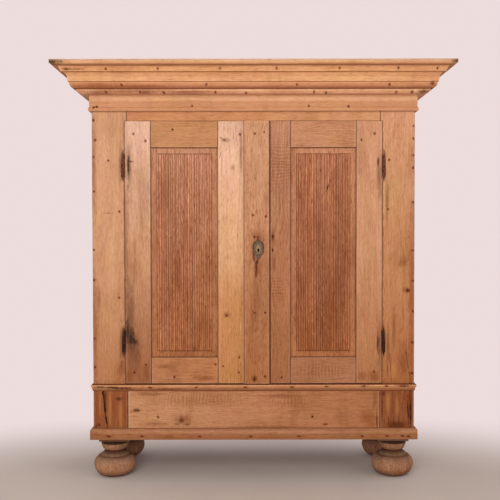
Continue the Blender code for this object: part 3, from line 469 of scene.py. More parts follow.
GLOSS_RANGE = (0.2, 0.8)
OAK_SPECULAR = 0.07
OAK_BUMP = (0.35, 0.0006)
STAINS = {
    "pale": (paint(232, 190, 150), 0.35),
    "honey": (paint(204, 134, 76), 0.4),
    "brown": (paint(122, 63, 28), 0.55),
    "red": (paint(134, 64, 31), 0.6),
    "russet": (paint(126, 68, 36), 0.4),
    "iron": (paint(88, 54, 36), 0.55),
    "knot": (paint(86, 36, 12), 0.85),
    "burn": (paint(48, 28, 19), 0.92),
    "slot": (paint(54, 30, 20), 0.85),
}
OVER_DIRT = {
    "nail": (paint(100, 36, 8), 0.92),
    "gap_dirt_and_shade": (paint(84, 44, 26), 0.36),
    "split": (paint(40, 17, 8), 0.92),
}


def tint_row(value, tints):
    """A colour ramp through stops, each of a share of the way and the colour's red, green and blue."""
    ramp = add(value.id_data, "ValToRGB", {0: value})
    stops = ramp.color_ramp.elements
    while len(stops) < len(tints):
        stops.new(0.5)
    for stop, tint in zip(stops, tints):
        stop.position = tint[0]
    for stop, tint in zip(stops, tints):
        stop.color = paint(*tint[1:])
    return ramp.outputs[0]


def face_box(low, high, face):
    """A box made wide across the axes that don't count for joint dirt."""
    low, high = Vector(low), Vector(high)
    for axis in face:
        low["XYZ".index(axis)] -= WIDE
        high["XYZ".index(axis)] += WIDE
    return {"Low": low, "High": high}


def oak(name, low, high, tints, seed, grain="Z", row="Z", face="Y", drift=0.35, contrast=1.0, figure=0.15,
        flecks=0.3, smoke=0.6, dirt=1.0, roughness=(0.58, 0.76), lines=(), marks=None):
    """A board's material. marks has the entries of each kind of mark, and a line is a dark band across the
    board at a joint, partly dirt and partly painted shade, with its height, half width and strength."""
    material, shader, coords = new_material(name)
    shift = {"Vector": coords, "Location": SEED_STEP * seed, "Rotation": GRAIN_TURN[grain]}
    turned = add(material.node_tree, "Mapping", shift).outputs[0]
    rough = noise(vector_calc("MULTIPLY", coords, ROUGH_SIZE), *ROUGH_LOOK)
    patch = noise(vector_calc("ADD", coords, SEED_STEP * seed), PATCH_SCALE)
    places = axes_of(coords)
    index = "XYZ".index(row)
    span = {"Value": places[row], "From Min": low[index], "From Max": high[index]}
    share = plus(add(material.node_tree, "MapRange", span).outputs[0], swing(patch, drift))
    values = {"Vector": turned, "Tint": tint_row(share, tints), "Contrast": contrast}
    grained = use(oak_grain, {**values, "Figure": figure, "Flecks": flecks})
    clouds = vector_calc("ADD", vector_calc("MULTIPLY", coords, SMOKE_SIZE), SEED_STEP * seed * 3)
    clouds = fade(noise(clouds, *SMOKE_LOOK), *SMOKE_RANGE)
    colour = mix(times(clouds, smoke), grained["Color"], SMOKE_DARK, "MULTIPLY")

    def marked(kind):
        """The strongest of all masks of a kind at each point, or None."""
        total = None
        for entry in (marks or {}).get(kind, ()):
            group = split_group if "Along" in entry else mark_group
            mask = use(group, {"Vector": coords, "Noise": rough, **entry})["Mask"]
            total = most(total, mask) if total else mask
        return total

    rippled = marked("ripple")
    if rippled:
        inputs = {"Vector": turned, **RIPPLE_WAVES}
        waves = add(material.node_tree, "TexWave", inputs, bands_direction="Z").outputs[1]
        colour = mix(times(rippled, waves), colour, RIPPLE_DARK, "MULTIPLY")
    for kind, (tone, strength) in STAINS.items():
        mask = marked(kind)
        colour = mix(times(mask, strength), colour, tone) if mask else colour
    distance = use(board_edge, {"Vector": coords, **face_box(low, high, face)})["Distance"]
    distance = plus(distance, swing(rough, EDGE_WANDER))
    colour = mix(times(fade(distance, *RUBBED_EDGE), RUBBED_SHARE * dirt), colour, RUBBED_PALE, "SCREEN")
    # Dirt along the board's edges, and dark lines across it that are partly dirt and partly painted shade.
    dirt_and_shade = times(fade(distance, *DIRT_EDGE), DIRT_SHARE * dirt)
    level = plus(places["Z"], swing(rough, LINE_WANDER))
    for place, half_width, strength in lines:
        line = fade(calc("ABSOLUTE", minus(level, place)), half_width, half_width * LINE_CORE)
        dirt_and_shade = most(dirt_and_shade, times(line, strength))
    colour = mix(dirt_and_shade, colour, JOINT_DIRT_AND_SHADE)
    height = grained["Height"]
    for kind, (tone, strength) in OVER_DIRT.items():
        mask = marked(kind)
        colour = mix(times(mask, strength), colour, tone) if mask else colour
        if mask and kind == "split":
            height = minus(height, times(mask, SPLIT_DEPTH))
    roughness = fade(patch, *GLOSS_RANGE, *roughness)
    finish_shader(shader, colour, roughness, OAK_SPECULAR, bump=(height, *OAK_BUMP))
    return material


print("oak recipe ready")

# %% [markdown]
# ## Worn copies of the boards
#
# The solids are straight and sharp. An old hand-planed board has edges that wander by a millimetre, and
# a moulding waves along its length. Each board is a copy of its solid: the loose triangles are merged,
# the copy is cut across at even steps, and a Displace modifier with a cloud pattern moves the points a
# little. Cutting and moving keeps each rebate, groove and hinge recess where it was.

# %% Make a worn copy
CLOUD_SIZE = 0.16
WEAR_MIDDLE = 0.85
MERGE_REACH = 0.00002
FLAT_ANGLE = math.radians(0.5)
EDGE_SHARE = 0.0025


def make_active(piece):
    bpy.ops.object.select_all(action="DESELECT")
    piece.select_set(True)
    bpy.context.view_layer.objects.active = piece


def smooth(degrees):
    """Shades what is selected smoothly, but for the edges sharper than an angle."""
    bpy.ops.object.shade_smooth_by_angle(angle=math.radians(degrees))


def edit_all(piece):
    make_active(piece)
    bpy.ops.object.mode_set(mode="EDIT")
    bpy.ops.mesh.select_all(action="SELECT")


def linked_copy(name, mesh):
    """A new object in the scene, with its own copy of a mesh."""
    piece = bpy.data.objects.new(name, mesh.copy())
    bpy.context.scene.collection.objects.link(piece)
    return piece


def cutting_plane(axis, place):
    """A plane across an axis of the object, as the bisect operator takes it."""
    spot = [0.0, 0.0, 0.0]
    spot[axis] = place
    return {"plane_co": spot, "plane_no": [float(index == axis) for index in range(3)]}


def cut_across(piece, axis, step):
    """Cuts a mesh at even steps along one axis of the object."""
    places = [vertex.co[axis] for vertex in piece.data.vertices]
    low, high = min(places), max(places)
    count = max(1, round((high - low) / step))
    edit_all(piece)
    for number in range(1, count):
        bpy.ops.mesh.select_all(action="SELECT")
        bpy.ops.mesh.bisect(**cutting_plane(axis, low + (high - low) * number / count))
    bpy.ops.object.mode_set(mode="OBJECT")


def wear(piece, amount, size=CLOUD_SIZE):
    """Moves the points, mostly inwards, by up to amount, in a slow pattern."""
    texture = bpy.data.textures.new(piece.name, "CLOUDS")
    texture.noise_scale = size
    texture.noise_depth = 2
    make_active(piece)
    bpy.ops.object.modifier_add(type="DISPLACE")
    modifier = piece.modifiers[-1]
    modifier.texture = texture
    modifier.strength = amount
    modifier.mid_level = WEAR_MIDDLE
    modifier.texture_coords = "LOCAL"
    bpy.ops.object.modifier_apply(modifier=modifier.name)
    bpy.data.textures.remove(texture)


def worn_copy(node, axis, step, amount):
    """A merged, cut and slightly uneven copy of a solid, which stands for it."""
    piece = linked_copy(node + "_worn", nodes[node].data)
    edit_all(piece)
    bpy.ops.mesh.remove_doubles(threshold=MERGE_REACH)
    bpy.ops.mesh.dissolve_limited(angle_limit=FLAT_ANGLE)
    bpy.ops.object.mode_set(mode="OBJECT")
    bpy.ops.mesh.customdata_custom_splitnormals_clear()
    cut_across(piece, "XYZ".index(axis), step)
    if amount:
        wear(piece, amount)
    smooth(28)
    return piece


def reach_out(piece, axis, side, amount):
    """Moves the outermost points of a piece outwards, so that the gap beside it narrows."""
    index = "XYZ".index(axis)
    edge = max(side * vertex.co[index] for vertex in piece.data.vertices)
    for vertex in piece.data.vertices:
        if side * vertex.co[index] > edge - EDGE_SHARE:
            vertex.co[index] += side * amount


def dress(piece, node, material):
    """Gives a piece its material, and puts it on its solid's body in the solid's place."""
    piece.data.materials.clear()
    piece.data.materials.append(material)
    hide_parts(node)
    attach(piece, nodes[node]["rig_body"])


print("worn copies ready")

# %% [markdown]
# ## Where the nails, stains and splits are
#
# Old nails and pegs hold each joint, and every one has left a dark spot. They are listed by the column
# and row at which they show in the picture, board by board. The same lists place the dark halo in the
# material and the iron head on the surface, so the two always agree. The stains and cracks are listed
# with their boards further down, in the same columns and rows.

# %% List the nails
NAILS = {
    "left_hinge_stile": ((133.2, 133.8), (145.3, 141), (146, 364.7), (134.4, 372.5)),
    "left_lock_stile": ((224, 139.8), (240, 134.3), (226.7, 315.7), (223, 365.9), (239.2, 357.5),
                        (239, 372.5)),
    "centre_strip": ((254.9, 133.5), (264.2, 132), (253, 215.1), (266, 216.5), (254.6, 312.9), (265, 312.7),
                     (254.5, 379.7), (265, 376.6), (254.6, 237), (257.6, 237.4)),
    "right_meeting_stile": ((273, 236), (272.8, 250), (281.5, 377.5)),
    "right_hinge_stile": ((374.5, 133.5), (361.5, 139.8), (373.9, 371.8)),
    "left_top_rail": ((172.4, 129.5),),
    "left_bottom_rail": ((174.6, 377), (215.6, 364.4)),
    "corner_stile_left": ((93.4, 120.3), (95, 140.2), (93.4, 157.1), (93.8, 191.5), (94, 250), (94, 280.2),
                          (94.4, 338.8), (95, 367.2), (108.2, 160.6), (119.3, 211.6), (119.3, 297.8)),
    "corner_stile_right": ((413.6, 125.8), (413.4, 138.5), (413.4, 155.1), (413, 167.7), (413.2, 202.2),
                           (413, 250.2), (413, 280.8), (412.8, 311.2), (412.6, 342.2), (412, 373),
                           (389.2, 159.9), (388.1, 209.1), (407.8, 290.5)),
    "frieze_front": ((192.1, 106.1), (308.9, 106), (348.5, 106.2), (93.4, 107.5), (96.9, 106.7)),
    "crown_mould_front": ((105.6, 68.9), (157.6, 68.4), (219.8, 68.1), (276.7, 68), (339.8, 68),
                          (398.4, 67.7), (437.7, 68.2), (121.3, 84.8), (206.3, 84.4), (296.9, 84.5),
                          (389.6, 84.5)),
    "bed_mould_front": ((106, 92), (140, 92), (164, 93), (215.5, 92), (246, 93), (314, 92), (326, 92.6),
                        (396, 92), (412, 92)),
    "waist_mould_front": ((150, 387.6), (196.3, 387.4), (245.4, 387.2), (292, 387.2), (326.7, 386.6),
                          (363.9, 386.2), (386.4, 386.2)),
    "plinth_mould_front": ((108.7, 436.6), (142, 436.4), (199.7, 436.6), (251, 436.4), (299, 436.2),
                           (362, 436.2), (386.7, 436), (402.7, 436), (408, 436.4)),
    "base_board": ((312.4, 416.6), (326.3, 424), (324.2, 424.4)),
}
HALO_REACH = (0.0068, 0.03, 0.0078)
WIDE_HALO = (0.0130, 0.03, 0.0060)
WIDE_HALOED = ("waist_mould_front", "plinth_mould_front")
MARK_DEPTH = 0.05


def placed(node, mark):
    """A mark at its spot on a solid. A stain is a column, a row, a half width and a half height in metres,
    and a crack is the spots of its two ends and a width. What has its place already stays as it is."""
    if isinstance(mark, dict):
        return mark
    start = on_node(node, *mark[:2])[0]
    if len(mark) == 4:
        return {"Centre": start, "Size": (mark[2], MARK_DEPTH, mark[3])}
    along = on_node(node, *mark[2:4])[0] - start
    along.y = 0
    return {"Start": start, "Along": along, "Width": mark[4]}


def marks_on(node, marks):
    """All marks of a board and the dark halo of each nail, which is wide on the base's mouldings."""
    found = {kind: [placed(node, mark) for mark in entries] for kind, entries in marks.items()}
    reach = WIDE_HALO if node in WIDE_HALOED else HALO_REACH
    found["nail"] = [{"Centre": on_node(node, *spot)[0], "Size": reach} for spot in NAILS.get(node, ())]
    return found


print("nails listed:", sum(len(spots) for spots in NAILS.values()))

# %% [markdown]
# ## How a board is dressed
#
# Each board is a worn copy of its solid. Its marks are listed by where they show in the picture, and its
# tints run from one end of the board to the other. The doors meet their neighbours in thin dark lines in
# the photograph, but the solids keep the room that moving doors need. So only the outermost edges reach
# out here, by about a millimetre. Heads that meet the frieze stay clean of joint dirt.

# %% Write the board recipe
DOOR_LINE = 0.5965
DOOR_LINE_WIDTH = 0.010
TOP = ("Z", 1, 0.0012)
SIDE_REACH = 0.0011
MEETING_REACH = 0.0016
CLEAN_HEAD = 0.02
BOARD_STEP = 0.03
BOARD_WEAR = 0.0014
DOOR_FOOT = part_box("left_bottom_rail")[0][2]
RAIL_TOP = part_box("left_top_rail")[1][2]


def door_joint(side):
    """The dark line where a door meets its corner stile, partly dirt and partly painted shade of the gap.
    """
    start = Vector((side * DOOR_LINE, 0, DOOR_FOOT))
    return {"Start": start, "Along": Vector((0, 0, RAIL_TOP - DOOR_FOOT)), "Width": DOOR_LINE_WIDTH}


def span_box(span, foot, head):
    """The box of a board from side to side and foot to head, as the front shows it."""
    return (span[0], 0, foot), (span[1], 0, head)


def seed_of(node):
    """Each solid's own number, which shifts its grain."""
    return 1 + list(nodes).index(node)


def board(node, axis="Z", step=BOARD_STEP, amount=BOARD_WEAR, box=None, reach=(), marks=None, **looks):
    """A worn board whose grain and tints run along an axis. reach lists the sides that come closer to
    their neighbour."""
    low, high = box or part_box(node)
    if TOP in reach:
        high = (high[0], high[1], high[2] + CLEAN_HEAD)
    looks = {"grain": axis, "row": axis, "marks": marks_on(node, marks or {}), **looks}
    material = oak(node + "_oak", low, high, seed=seed_of(node), **looks)
    piece = worn_copy(node, axis, step, amount)
    for edge in reach:
        reach_out(piece, *edge)
    settle(piece, node)
    dress(piece, node, material)


print("doors from", round(DOOR_FOOT, 4), "to", round(RAIL_TOP, 4))

# %% [markdown]
# ## The frame of the front
#
# Two wide corner stiles, a header rail and a base board make the carcass front. The stiles are golden,
# with darker red ends below the waist where old varnish is left. Each keeps its solid's joints, and its
# long edges are worn. The tints of a stile run from its foot to its head, and above the waist they grow
# darker towards the foot, partly as painted shade of light that falls off lower down.

# %% Dress the carcass front
RED_BROWN = (145, 87, 52)
OPENING = (-0.585, 0.585)
STILE_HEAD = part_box("corner_stile_left")[1][2]
# The dark lines at the waist and the plinth are partly dirt and partly painted shadow under the mouldings.
STILE_LINES = [(WAIST_TOP, 0.003, 0.8), (WAIST_EDGE, 0.003, 0.8), (PLINTH_EDGE, 0.003, 0.4)]
board(
    "corner_stile_left",
    tints=[(0.0, *RED_BROWN), (0.13, *RED_BROWN), (0.17, 183, 128, 87), (0.55, 204, 153, 115),
           (1.0, 207, 157, 120)],
    lines=STILE_LINES, drift=0.03, contrast=0.9,
    marks={
        "gap_dirt_and_shade": [door_joint(-1)],
        "split": [(102.3, 386, 107.6, 430, 0.0095)],
        "red": [(94.2, 330, 0.020, 0.34), (93.2, 170, 0.016, 0.28), (122, 370, 0.030, 0.07),
                (125, 408, 0.010, 0.13), (96.5, 412, 0.008, 0.10), (114, 406, 0.010, 0.10)],
        "iron": [(120.5, 166, 0.009, 0.10), (121.5, 345, 0.012, 0.12)],
        "brown": [(99, 300, 0.010, 0.06), (108, 213, 0.026, 0.004)],
        "honey": [(110, 408, 0.007, 0.10), (120.5, 414, 0.009, 0.10), (100, 402, 0.006, 0.07)],
        "knot": [(128, 408, 0.005, 0.13), (105.5, 398, 0.008, 0.05), (99, 425, 0.012, 0.012),
                 (119, 399, 0.020, 0.012), (96, 426.5, 0.014, 0.010)],
    },
)
board(
    "corner_stile_right",
    tints=[(0.0, *RED_BROWN), (0.13, *RED_BROWN), (0.17, 173, 112, 69), (0.6, 195, 140, 97),
           (1.0, 212, 160, 122)],
    lines=STILE_LINES, drift=0.03, contrast=1.1,
    marks={
        "gap_dirt_and_shade": [door_joint(1)],
        "split": [(406, 352, 409.5, 375, 0.003), (389.5, 352, 391.5, 381, 0.002),
                  (386.9, 358, 388, 381, 0.003), (384.3, 418, 384.6, 427, 0.0016),
                  (388.3, 415, 388.7, 427, 0.0016), (393, 418, 393.3, 427, 0.0016),
                  (398.6, 414, 398.9, 427, 0.0016), (403, 417, 403.3, 427, 0.0016),
                  (407.5, 395, 408.4, 426, 0.0040), (410.2, 400, 410.6, 424, 0.0060)],
        "red": [(412, 300, 0.016, 0.50), (408, 404, 0.022, 0.08)],
        "iron": [(387.2, 198, 0.009, 0.11), (388, 345, 0.008, 0.09)],
        "brown": [(403, 262, 0.030, 0.030), (406, 290, 0.020, 0.020), (394, 330, 0.010, 0.12),
                  (404, 362, 0.030, 0.090)],
        "honey": [(388, 402, 0.014, 0.06), (397, 404, 0.009, 0.08), (393, 370, 0.020, 0.05)],
        "knot": [(410.5, 408, 0.012, 0.14), (382, 405, 0.005, 0.10), (382.5, 393.5, 0.016, 0.016),
                 (396, 425, 0.060, 0.022), (407.8, 290.5, 0.014, 0.010)],
    },
)
board(
    "header_rail",
    "X",
    box=span_box(OPENING, RAIL_TOP - CLEAN_HEAD, STILE_HEAD),
    tints=[(0.0, 196, 134, 94), (0.5, 201, 143, 97), (1.0, 205, 149, 106)],
    contrast=0.8,
)
board(
    "base_board",
    "X",
    box=span_box(OPENING, PLINTH_FOOT, WAIST_TOP),
    tints=[(0.0, 193, 140, 101), (0.5, 182, 126, 87), (1.0, 172, 114, 75)],
    # The dark lines under the waist and above the plinth are partly dirt and partly painted shadow.
    lines=[(WAIST_EDGE, 0.004, 0.7), (PLINTH_EDGE, 0.003, 0.3)],
    figure=0.45,
    marks={
        "brown": [(182, 420, 0.050, 0.030), (155, 424, 0.080, 0.012), (260, 427, 0.200, 0.008),
                  (150, 394, 0.080, 0.012), (280, 396, 0.120, 0.010), (375, 398, 0.014, 0.050)],
        "knot": [(181.5, 420.6, 0.014, 0.014), (187.5, 424.4, 0.012, 0.007), (176, 424, 0.010, 0.005),
                 (136, 410.4, 0.024, 0.009), (158, 417, 0.007, 0.009), (377, 420, 0.005, 0.060)],
        "red": [(369, 418, 0.048, 0.044), (372, 424, 0.030, 0.020)],
        "ripple": [(195, 399, 0.24, 0.04), (290, 402, 0.12, 0.03)],
    },
)
print("carcass front dressed")

# %% [markdown]
# ## Sides, back and inside
#
# The planks that the front view hides are plainer and drier. The sides are oak like the stiles, and the
# back, the floor and the top are unfinished inside boards. Their flat, straight faces are right as they
# are, so these solids stay and only get a material.

# %% Dress the hidden boards
HONEY = (214, 156, 105)
PINE = (190, 146, 104)
PINE_DARK = (164, 116, 78)


def refinish(node, material):
    """Puts a material in the slots of a solid that keeps its shape."""
    for slot in nodes[node].material_slots:
        slot.material = material
    if not nodes[node].material_slots:
        nodes[node].data.materials.append(material)


def plain_board(node, tints, grain, face, **looks):
    """A board of the inside, which keeps its solid."""
    material = oak(node + "_wood", *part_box(node), tints, seed_of(node), grain, grain, face, **looks)
    refinish(node, material)


for side in ("left", "right"):
    tints = [(0.0, *RED_BROWN), (0.12, 190, 132, 88), (1.0, *HONEY)]
    board("side_" + side, step=0.06, tints=tints, face="X", lines=STILE_LINES, drift=0.3, contrast=1.1)
for number in range(1, 5):
    plain_board(f"back_board_{number}", [(0.0, *PINE_DARK), (1.0, *PINE)], "Z", "Y", figure=0.8, dirt=0.8)
for node in ("floor_board", "top_board"):
    plain_board(node, [(0.0, *PINE), (1.0, *PINE_DARK)], "X", "Z", figure=0.7, dirt=0.5)
for side in ("left", "right"):
    plain_board("bearer_" + side, [(0.0, 120, 92, 70), (1.0, 132, 102, 78)], "Y", "Z", dirt=0.4)
plain_board("hanging_rail", [(0.0, *PINE), (1.0, *PINE_DARK)], "X", "YZ", dirt=0.0)
print("hidden boards dressed")

# %% [markdown]
# ## Mouldings
#
# A moulding is read by its light and dark lines. Each member, such as a fascia, cove or ovolo, keeps its
# own tint, and the quirks between them hold dirt. Some tints are painted shade as well: the ovolo darkens
# towards its foot, the bed mould is darker at its top under the ovolo, and the waist is darker at its top
# under the doors and at its foot. So the tints of a moulding run up its profile instead of along it, and
# thin dark lines follow the joints between the members. These lines are partly dirt and partly painted
# shade, and those under the tablet, the ovolo, the bed mould and the waist are painted shadows. The pieces
# are cut across at short steps before they are worn, so that their long lines waver as planed and nailed
# mouldings do.

# %% Dress the mouldings
ASTRAGAL_HEIGHT = 0.0195
BEAD_SHARE = 0.34
SHOULDER_HEIGHT = 0.0230
COVE_LINE_DROP = 0.0155
ASTRAGAL_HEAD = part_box("frieze_front")[0][2] + ASTRAGAL_HEIGHT
WAIST_BEAD = WAIST_EDGE + BEAD_SHARE * (WAIST_TOP - WAIST_EDGE)
PLINTH_SHOULDER = PLINTH_FOOT + SHOULDER_HEIGHT
COVE_LINE = COVE_HEAD - COVE_LINE_DROP
TABLET_TIP = Vector(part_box("tablet_front")[0])
MOULDINGS = {
    "tablet": {
        "tints": [(0.0, 214, 158, 114), (0.28, 212, 156, 112), (0.45, 211, 162, 122), (1.0, 209, 163, 130)],
        "lines": [(CROWN_HEAD, 0.0018, 0.2)],
    },
    # The lowest stops darken the ovolo towards its foot: painted shade.
    "crown_mould": {
        "tints": [(0.0, 192, 130, 92), (0.12, 203, 140, 99), (0.24, 214, 152, 109), (0.28, 221, 167, 120),
                  (0.58, 223, 166, 118), (0.70, 227, 168, 119), (0.74, 225, 169, 119),
                  (1.0, 223, 164, 117)],
        "lines": [(OVOLO_EDGE, 0.0022, 0.35), (COVE_EDGE, 0.0016, 0.55), (COVE_LINE, 0.0020, 0.2),
                  (COVE_HEAD, 0.0014, 0.5), (CROWN_HEAD, 0.0018, 0.15)],
    },
    # The bed mould darkens towards its top, under the ovolo: painted shade.
    "bed_mould": {
        "tints": [(0.0, 244, 190, 151), (0.45, 233, 178, 136), (0.75, 219, 163, 123), (1.0, 208, 154, 115)],
        "lines": [(BED_FOOT, 0.0014, 0.15), (OVOLO_EDGE, 0.0022, 0.4)],
    },
    "frieze": {
        "contrast": 0.5,
        "tints": [(0.0, 203, 147, 106), (0.24, 201, 145, 106), (0.28, 219, 168, 127), (0.36, 221, 171, 131),
                  (0.50, 215, 164, 124), (1.0, 215, 164, 124)],
        "lines": [(ASTRAGAL_HEAD, 0.0011, 0.4), (BED_FOOT, 0.002, 0.2)],
    },
    # The dark top and foot of the waist, in tints and lines, are painted shade under the doors and on its
    # underside.
    "waist_mould": {
        "tints": [(0.0, 150, 95, 61), (0.2, 182, 124, 84), (0.5, 210, 153, 109), (0.8, 206, 148, 102),
                  (1.0, 152, 98, 62)],
        "lines": [(WAIST_TOP, 0.0040, 0.9), (WAIST_EDGE, 0.0030, 0.8), (WAIST_BEAD, 0.0016, 0.4)],
    },
    "plinth_mould": {
        "tints": [(0.0, 154, 104, 72), (0.20, 152, 98, 62), (0.33, 163, 107, 71), (0.50, 166, 111, 75),
                  (0.62, 176, 124, 89), (0.72, 170, 118, 84), (0.82, 160, 107, 74), (1.0, 154, 101, 70)],
        "lines": [(PLINTH_EDGE, 0.0024, 0.3), (PLINTH_SHOULDER, 0.0024, 0.34)],
    },
}
MOULD_STEP = 0.02
MOULD_WEAR = 0.0012
MOULD_LOOKS = {"row": "Z", "face": "XY", "drift": 0.05, "dirt": 0.25, "smoke": 0.4}
FRONT_MARKS = {
    "tablet": {
        "burn": [
            {"Centre": TABLET_TIP + Vector((0.016, 0.01, 0.010)), "Size": (0.052, 0.05, 0.013)},
            {"Centre": TABLET_TIP + Vector((1.794, 0.01, 0.012)), "Size": (0.026, 0.05, 0.012)},
        ],
    },
    "crown_mould": {
        "red": [(100, 85.4, 0.12, 0.013), (136, 86, 0.16, 0.009)],
        "knot": [(66, 69, 0.020, 0.008), (432.5, 83.3, 0.016, 0.011)],
        "brown": [(76, 69, 0.050, 0.005)],
    },
    "bed_mould": {
        "red": [(130, 91, 0.26, 0.012), (100, 92, 0.08, 0.014), (190, 92, 0.14, 0.008)],
        "brown": [(146, 92.5, 0.030, 0.006)],
        "knot": [(424, 91.5, 0.034, 0.010)],
    },
    "frieze": {"split": [(93, 107.8, 97.5, 106.2, 0.004)]},
    "waist_mould": {
        "slot": [(112, 387.6, 0.040, 0.008), (100, 387.2, 0.030, 0.006)],
        "knot": [(124, 388.4, 0.060, 0.008), (170, 389, 0.080, 0.004), (404, 385.8, 0.040, 0.008)],
    },
    "plinth_mould": {"brown": [(96, 434, 0.030, 0.012), (168, 437, 0.040, 0.010)]},
}
for kind, looks in MOULDINGS.items():
    looks = {**MOULD_LOOKS, **looks}
    board(kind + "_front", "X", MOULD_STEP, MOULD_WEAR, marks=FRONT_MARKS[kind], **looks)
    for side in ("left", "right"):
        board(f"{kind}_{side}", "Y", MOULD_STEP, MOULD_WEAR, **looks)
print("mouldings dressed:", 3 * len(MOULDINGS))

# %% [markdown]
# ## Door frames
#
# Each leaf is framed of two uprights and two rails. No two boards match: the lock stile is the palest,
# the meeting stile is the darkest and has a rippled figure, and two rails show arched grain. The hinges
# have left grey stains on the uprights, and a burn marks the left one.

# %% Dress the door frames
LOCK_STILE_SPAN = (-0.1652, -0.0442)
RAIL_SPANS = {"left": (-0.475, LOCK_STILE_SPAN[0]), "right": (0.1708, 0.475)}

# The stiles' tints grow darker towards the foot, partly as painted shade of light that falls off lower
# down.
board(
    "left_hinge_stile",
    reach=[TOP, ("X", -1, SIDE_REACH)],
    tints=[(0.0, 157, 100, 67), (0.2, 168, 114, 80), (0.5, 199, 148, 111), (1.0, 224, 182, 155)],
    drift=0.06, smoke=0.9,
    marks={
        "burn": [(130.8, 338, 0.022, 0.052), (127.6, 333, 0.011, 0.072), (134.5, 341, 0.018, 0.024)],
        "slot": [(128.4, 166, 0.0066, 0.066), (131, 161.6, 0.013, 0.006)],
        "iron": [(129, 168, 0.014, 0.11), (130, 318, 0.026, 0.20), (133, 350, 0.036, 0.10)],
        "brown": [(128, 376, 0.026, 0.040), (146, 372, 0.014, 0.040), (125.4, 240, 0.017, 0.50)],
    },
)
board(
    "left_lock_stile",
    box=span_box(LOCK_STILE_SPAN, DOOR_FOOT, RAIL_TOP),
    reach=[TOP],
    tints=[(0.0, 189, 130, 82), (0.3, 198, 139, 91), (0.6, 222, 174, 134), (1.0, 219, 176, 148)],
    drift=0.08, flecks=0.5, smoke=0.3,
    marks={
        "brown": [(233, 168, 0.012, 0.014), (226, 140, 0.022, 0.012), (227, 315, 0.022, 0.016),
                  (241, 150, 0.008, 0.12)],
        "pale": [(240.6, 326, 0.004, 0.03)],
        "split": [(219.2, 136.5, 223.2, 139.8, 0.0022), (219.5, 158, 221, 152, 0.002)],
    },
)
board(
    "centre_strip",
    reach=[TOP, ("X", 1, MEETING_REACH)],
    tints=[(0.0, 169, 110, 68), (0.5, 187, 132, 95), (1.0, 204, 153, 117)],
    drift=0.06, flecks=0.8, contrast=1.2,
    # The marks round the key plate, the burn below it and the knots and large brown stain beside it, are
    # partly dirt and partly painted shadow of the plate.
    marks={
        "burn": [(257.2, 262, 0.009, 0.013)],
        "knot": [(256.3, 269, 0.008, 0.050), (253.6, 256, 0.008, 0.030), (262.8, 250, 0.006, 0.026),
                 (254.5, 379, 0.014, 0.018)],
        "brown": [(256, 300, 0.030, 0.150), (250, 263, 0.010, 0.030), (257.4, 243, 0.044, 0.085),
                  (258, 268, 0.028, 0.060)],
    },
)
board(
    "right_meeting_stile",
    reach=[TOP, ("X", -1, MEETING_REACH)],
    tints=[(0.0, 160, 104, 66), (0.35, 168, 111, 75), (1.0, 187, 134, 103)],
    drift=0.06, figure=0.55, contrast=1.15, flecks=0.6,
    marks={
        "brown": [(273.4, 238, 0.012, 0.06), (274, 262, 0.012, 0.06)],
        "knot": [(272.6, 236, 0.006, 0.020), (272.6, 250, 0.006, 0.012)],
        "ripple": [(280, 164, 0.10, 0.13), (276, 290, 0.05, 0.08)],
    },
)
board(
    "right_hinge_stile",
    reach=[TOP, ("X", 1, SIDE_REACH)],
    tints=[(0.0, 175, 119, 81), (0.2, 182, 126, 87), (0.5, 204, 150, 114), (1.0, 204, 151, 115)],
    drift=0.06, contrast=0.9,
    marks={
        "slot": [(377.9, 162, 0.006, 0.028), (377.8, 342, 0.006, 0.056)],
        "iron": [(379, 175, 0.014, 0.12), (380, 345, 0.014, 0.11)],
        "red": [(374, 376, 0.030, 0.030), (362, 376, 0.024, 0.022)],
    },
)
RAILS = {
    "left_top_rail": {"reach": [TOP], "tints": [(0.0, 193, 139, 99), (1.0, 189, 134, 91)]},
    "left_bottom_rail": {
        "tints": [(0.0, 177, 121, 82), (1.0, 179, 119, 77)],
        "marks": {"brown": [(165, 367, 0.05, 0.014), (205, 378, 0.06, 0.012)]},
    },
    "right_top_rail": {"reach": [TOP], "tints": [(0.0, 190, 136, 100), (1.0, 188, 133, 96)], "figure": 0.5},
    "right_bottom_rail": {
        "tints": [(0.0, 167, 113, 78), (1.0, 170, 116, 81)],
        "figure": 0.4,
        "marks": {"ripple": [(320, 371, 0.12, 0.05)]},
    },
}
for node, looks in RAILS.items():
    low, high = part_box(node)
    board(node, "X", box=span_box(RAIL_SPANS[node.split("_")[0]], low[2], high[2]), **looks)
print("door frames dressed")

# %% [markdown]
# ## Reeded panels
#
# Each panel is a thin board with a sloping margin round a field of twenty-five reeds, cut by hand with a
# scratch tool. No two reeds are equally wide, and they drift along their length. The board starts as a
# cube. Its front face is inset twice, once for the tongue in the frame and once for the slope, and the
# face that is left is cut into a fine grid. The grid's points are then moved by the reeds' own curve,
# because an operator for each of two thousand rows would say nothing more.

# %% Carve the panels
TONGUE_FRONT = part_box("left_top_rail")[0][1] + 0.010
TONGUE_HIDDEN = 0.010
MARGIN_WIDTH = 0.028
MARGIN_RISE = 0.0035
TOUCH = 0.0001
REEDS = 25
CUTS_PER_REED = 8
ROWS = 80
REED_SWELL = 0.0026
REED_END = 0.004
REED_WIDTHS = (0.72, 1.28)
REED_HEIGHTS = (0.75, 1.0)
REED_WAVES = ((0, 6.3), (1.5, 5.0), (0.3, 1.0))
SLOW_WAVER = 0.0007
QUICK_WAVER = 0.0004
WAVER_START = 0.01
reed_dice = random.Random(25)


def reed_edges(left, right):
    """The places of the grooves, from one side of the field to the other, with uneven widths."""
    widths = [reed_dice.uniform(*REED_WIDTHS) for _ in range(REEDS)]
    scale = (right - left) / sum(widths)
    edges = [left]
    for width in widths:
        edges.append(edges[-1] + width * scale)
    return edges


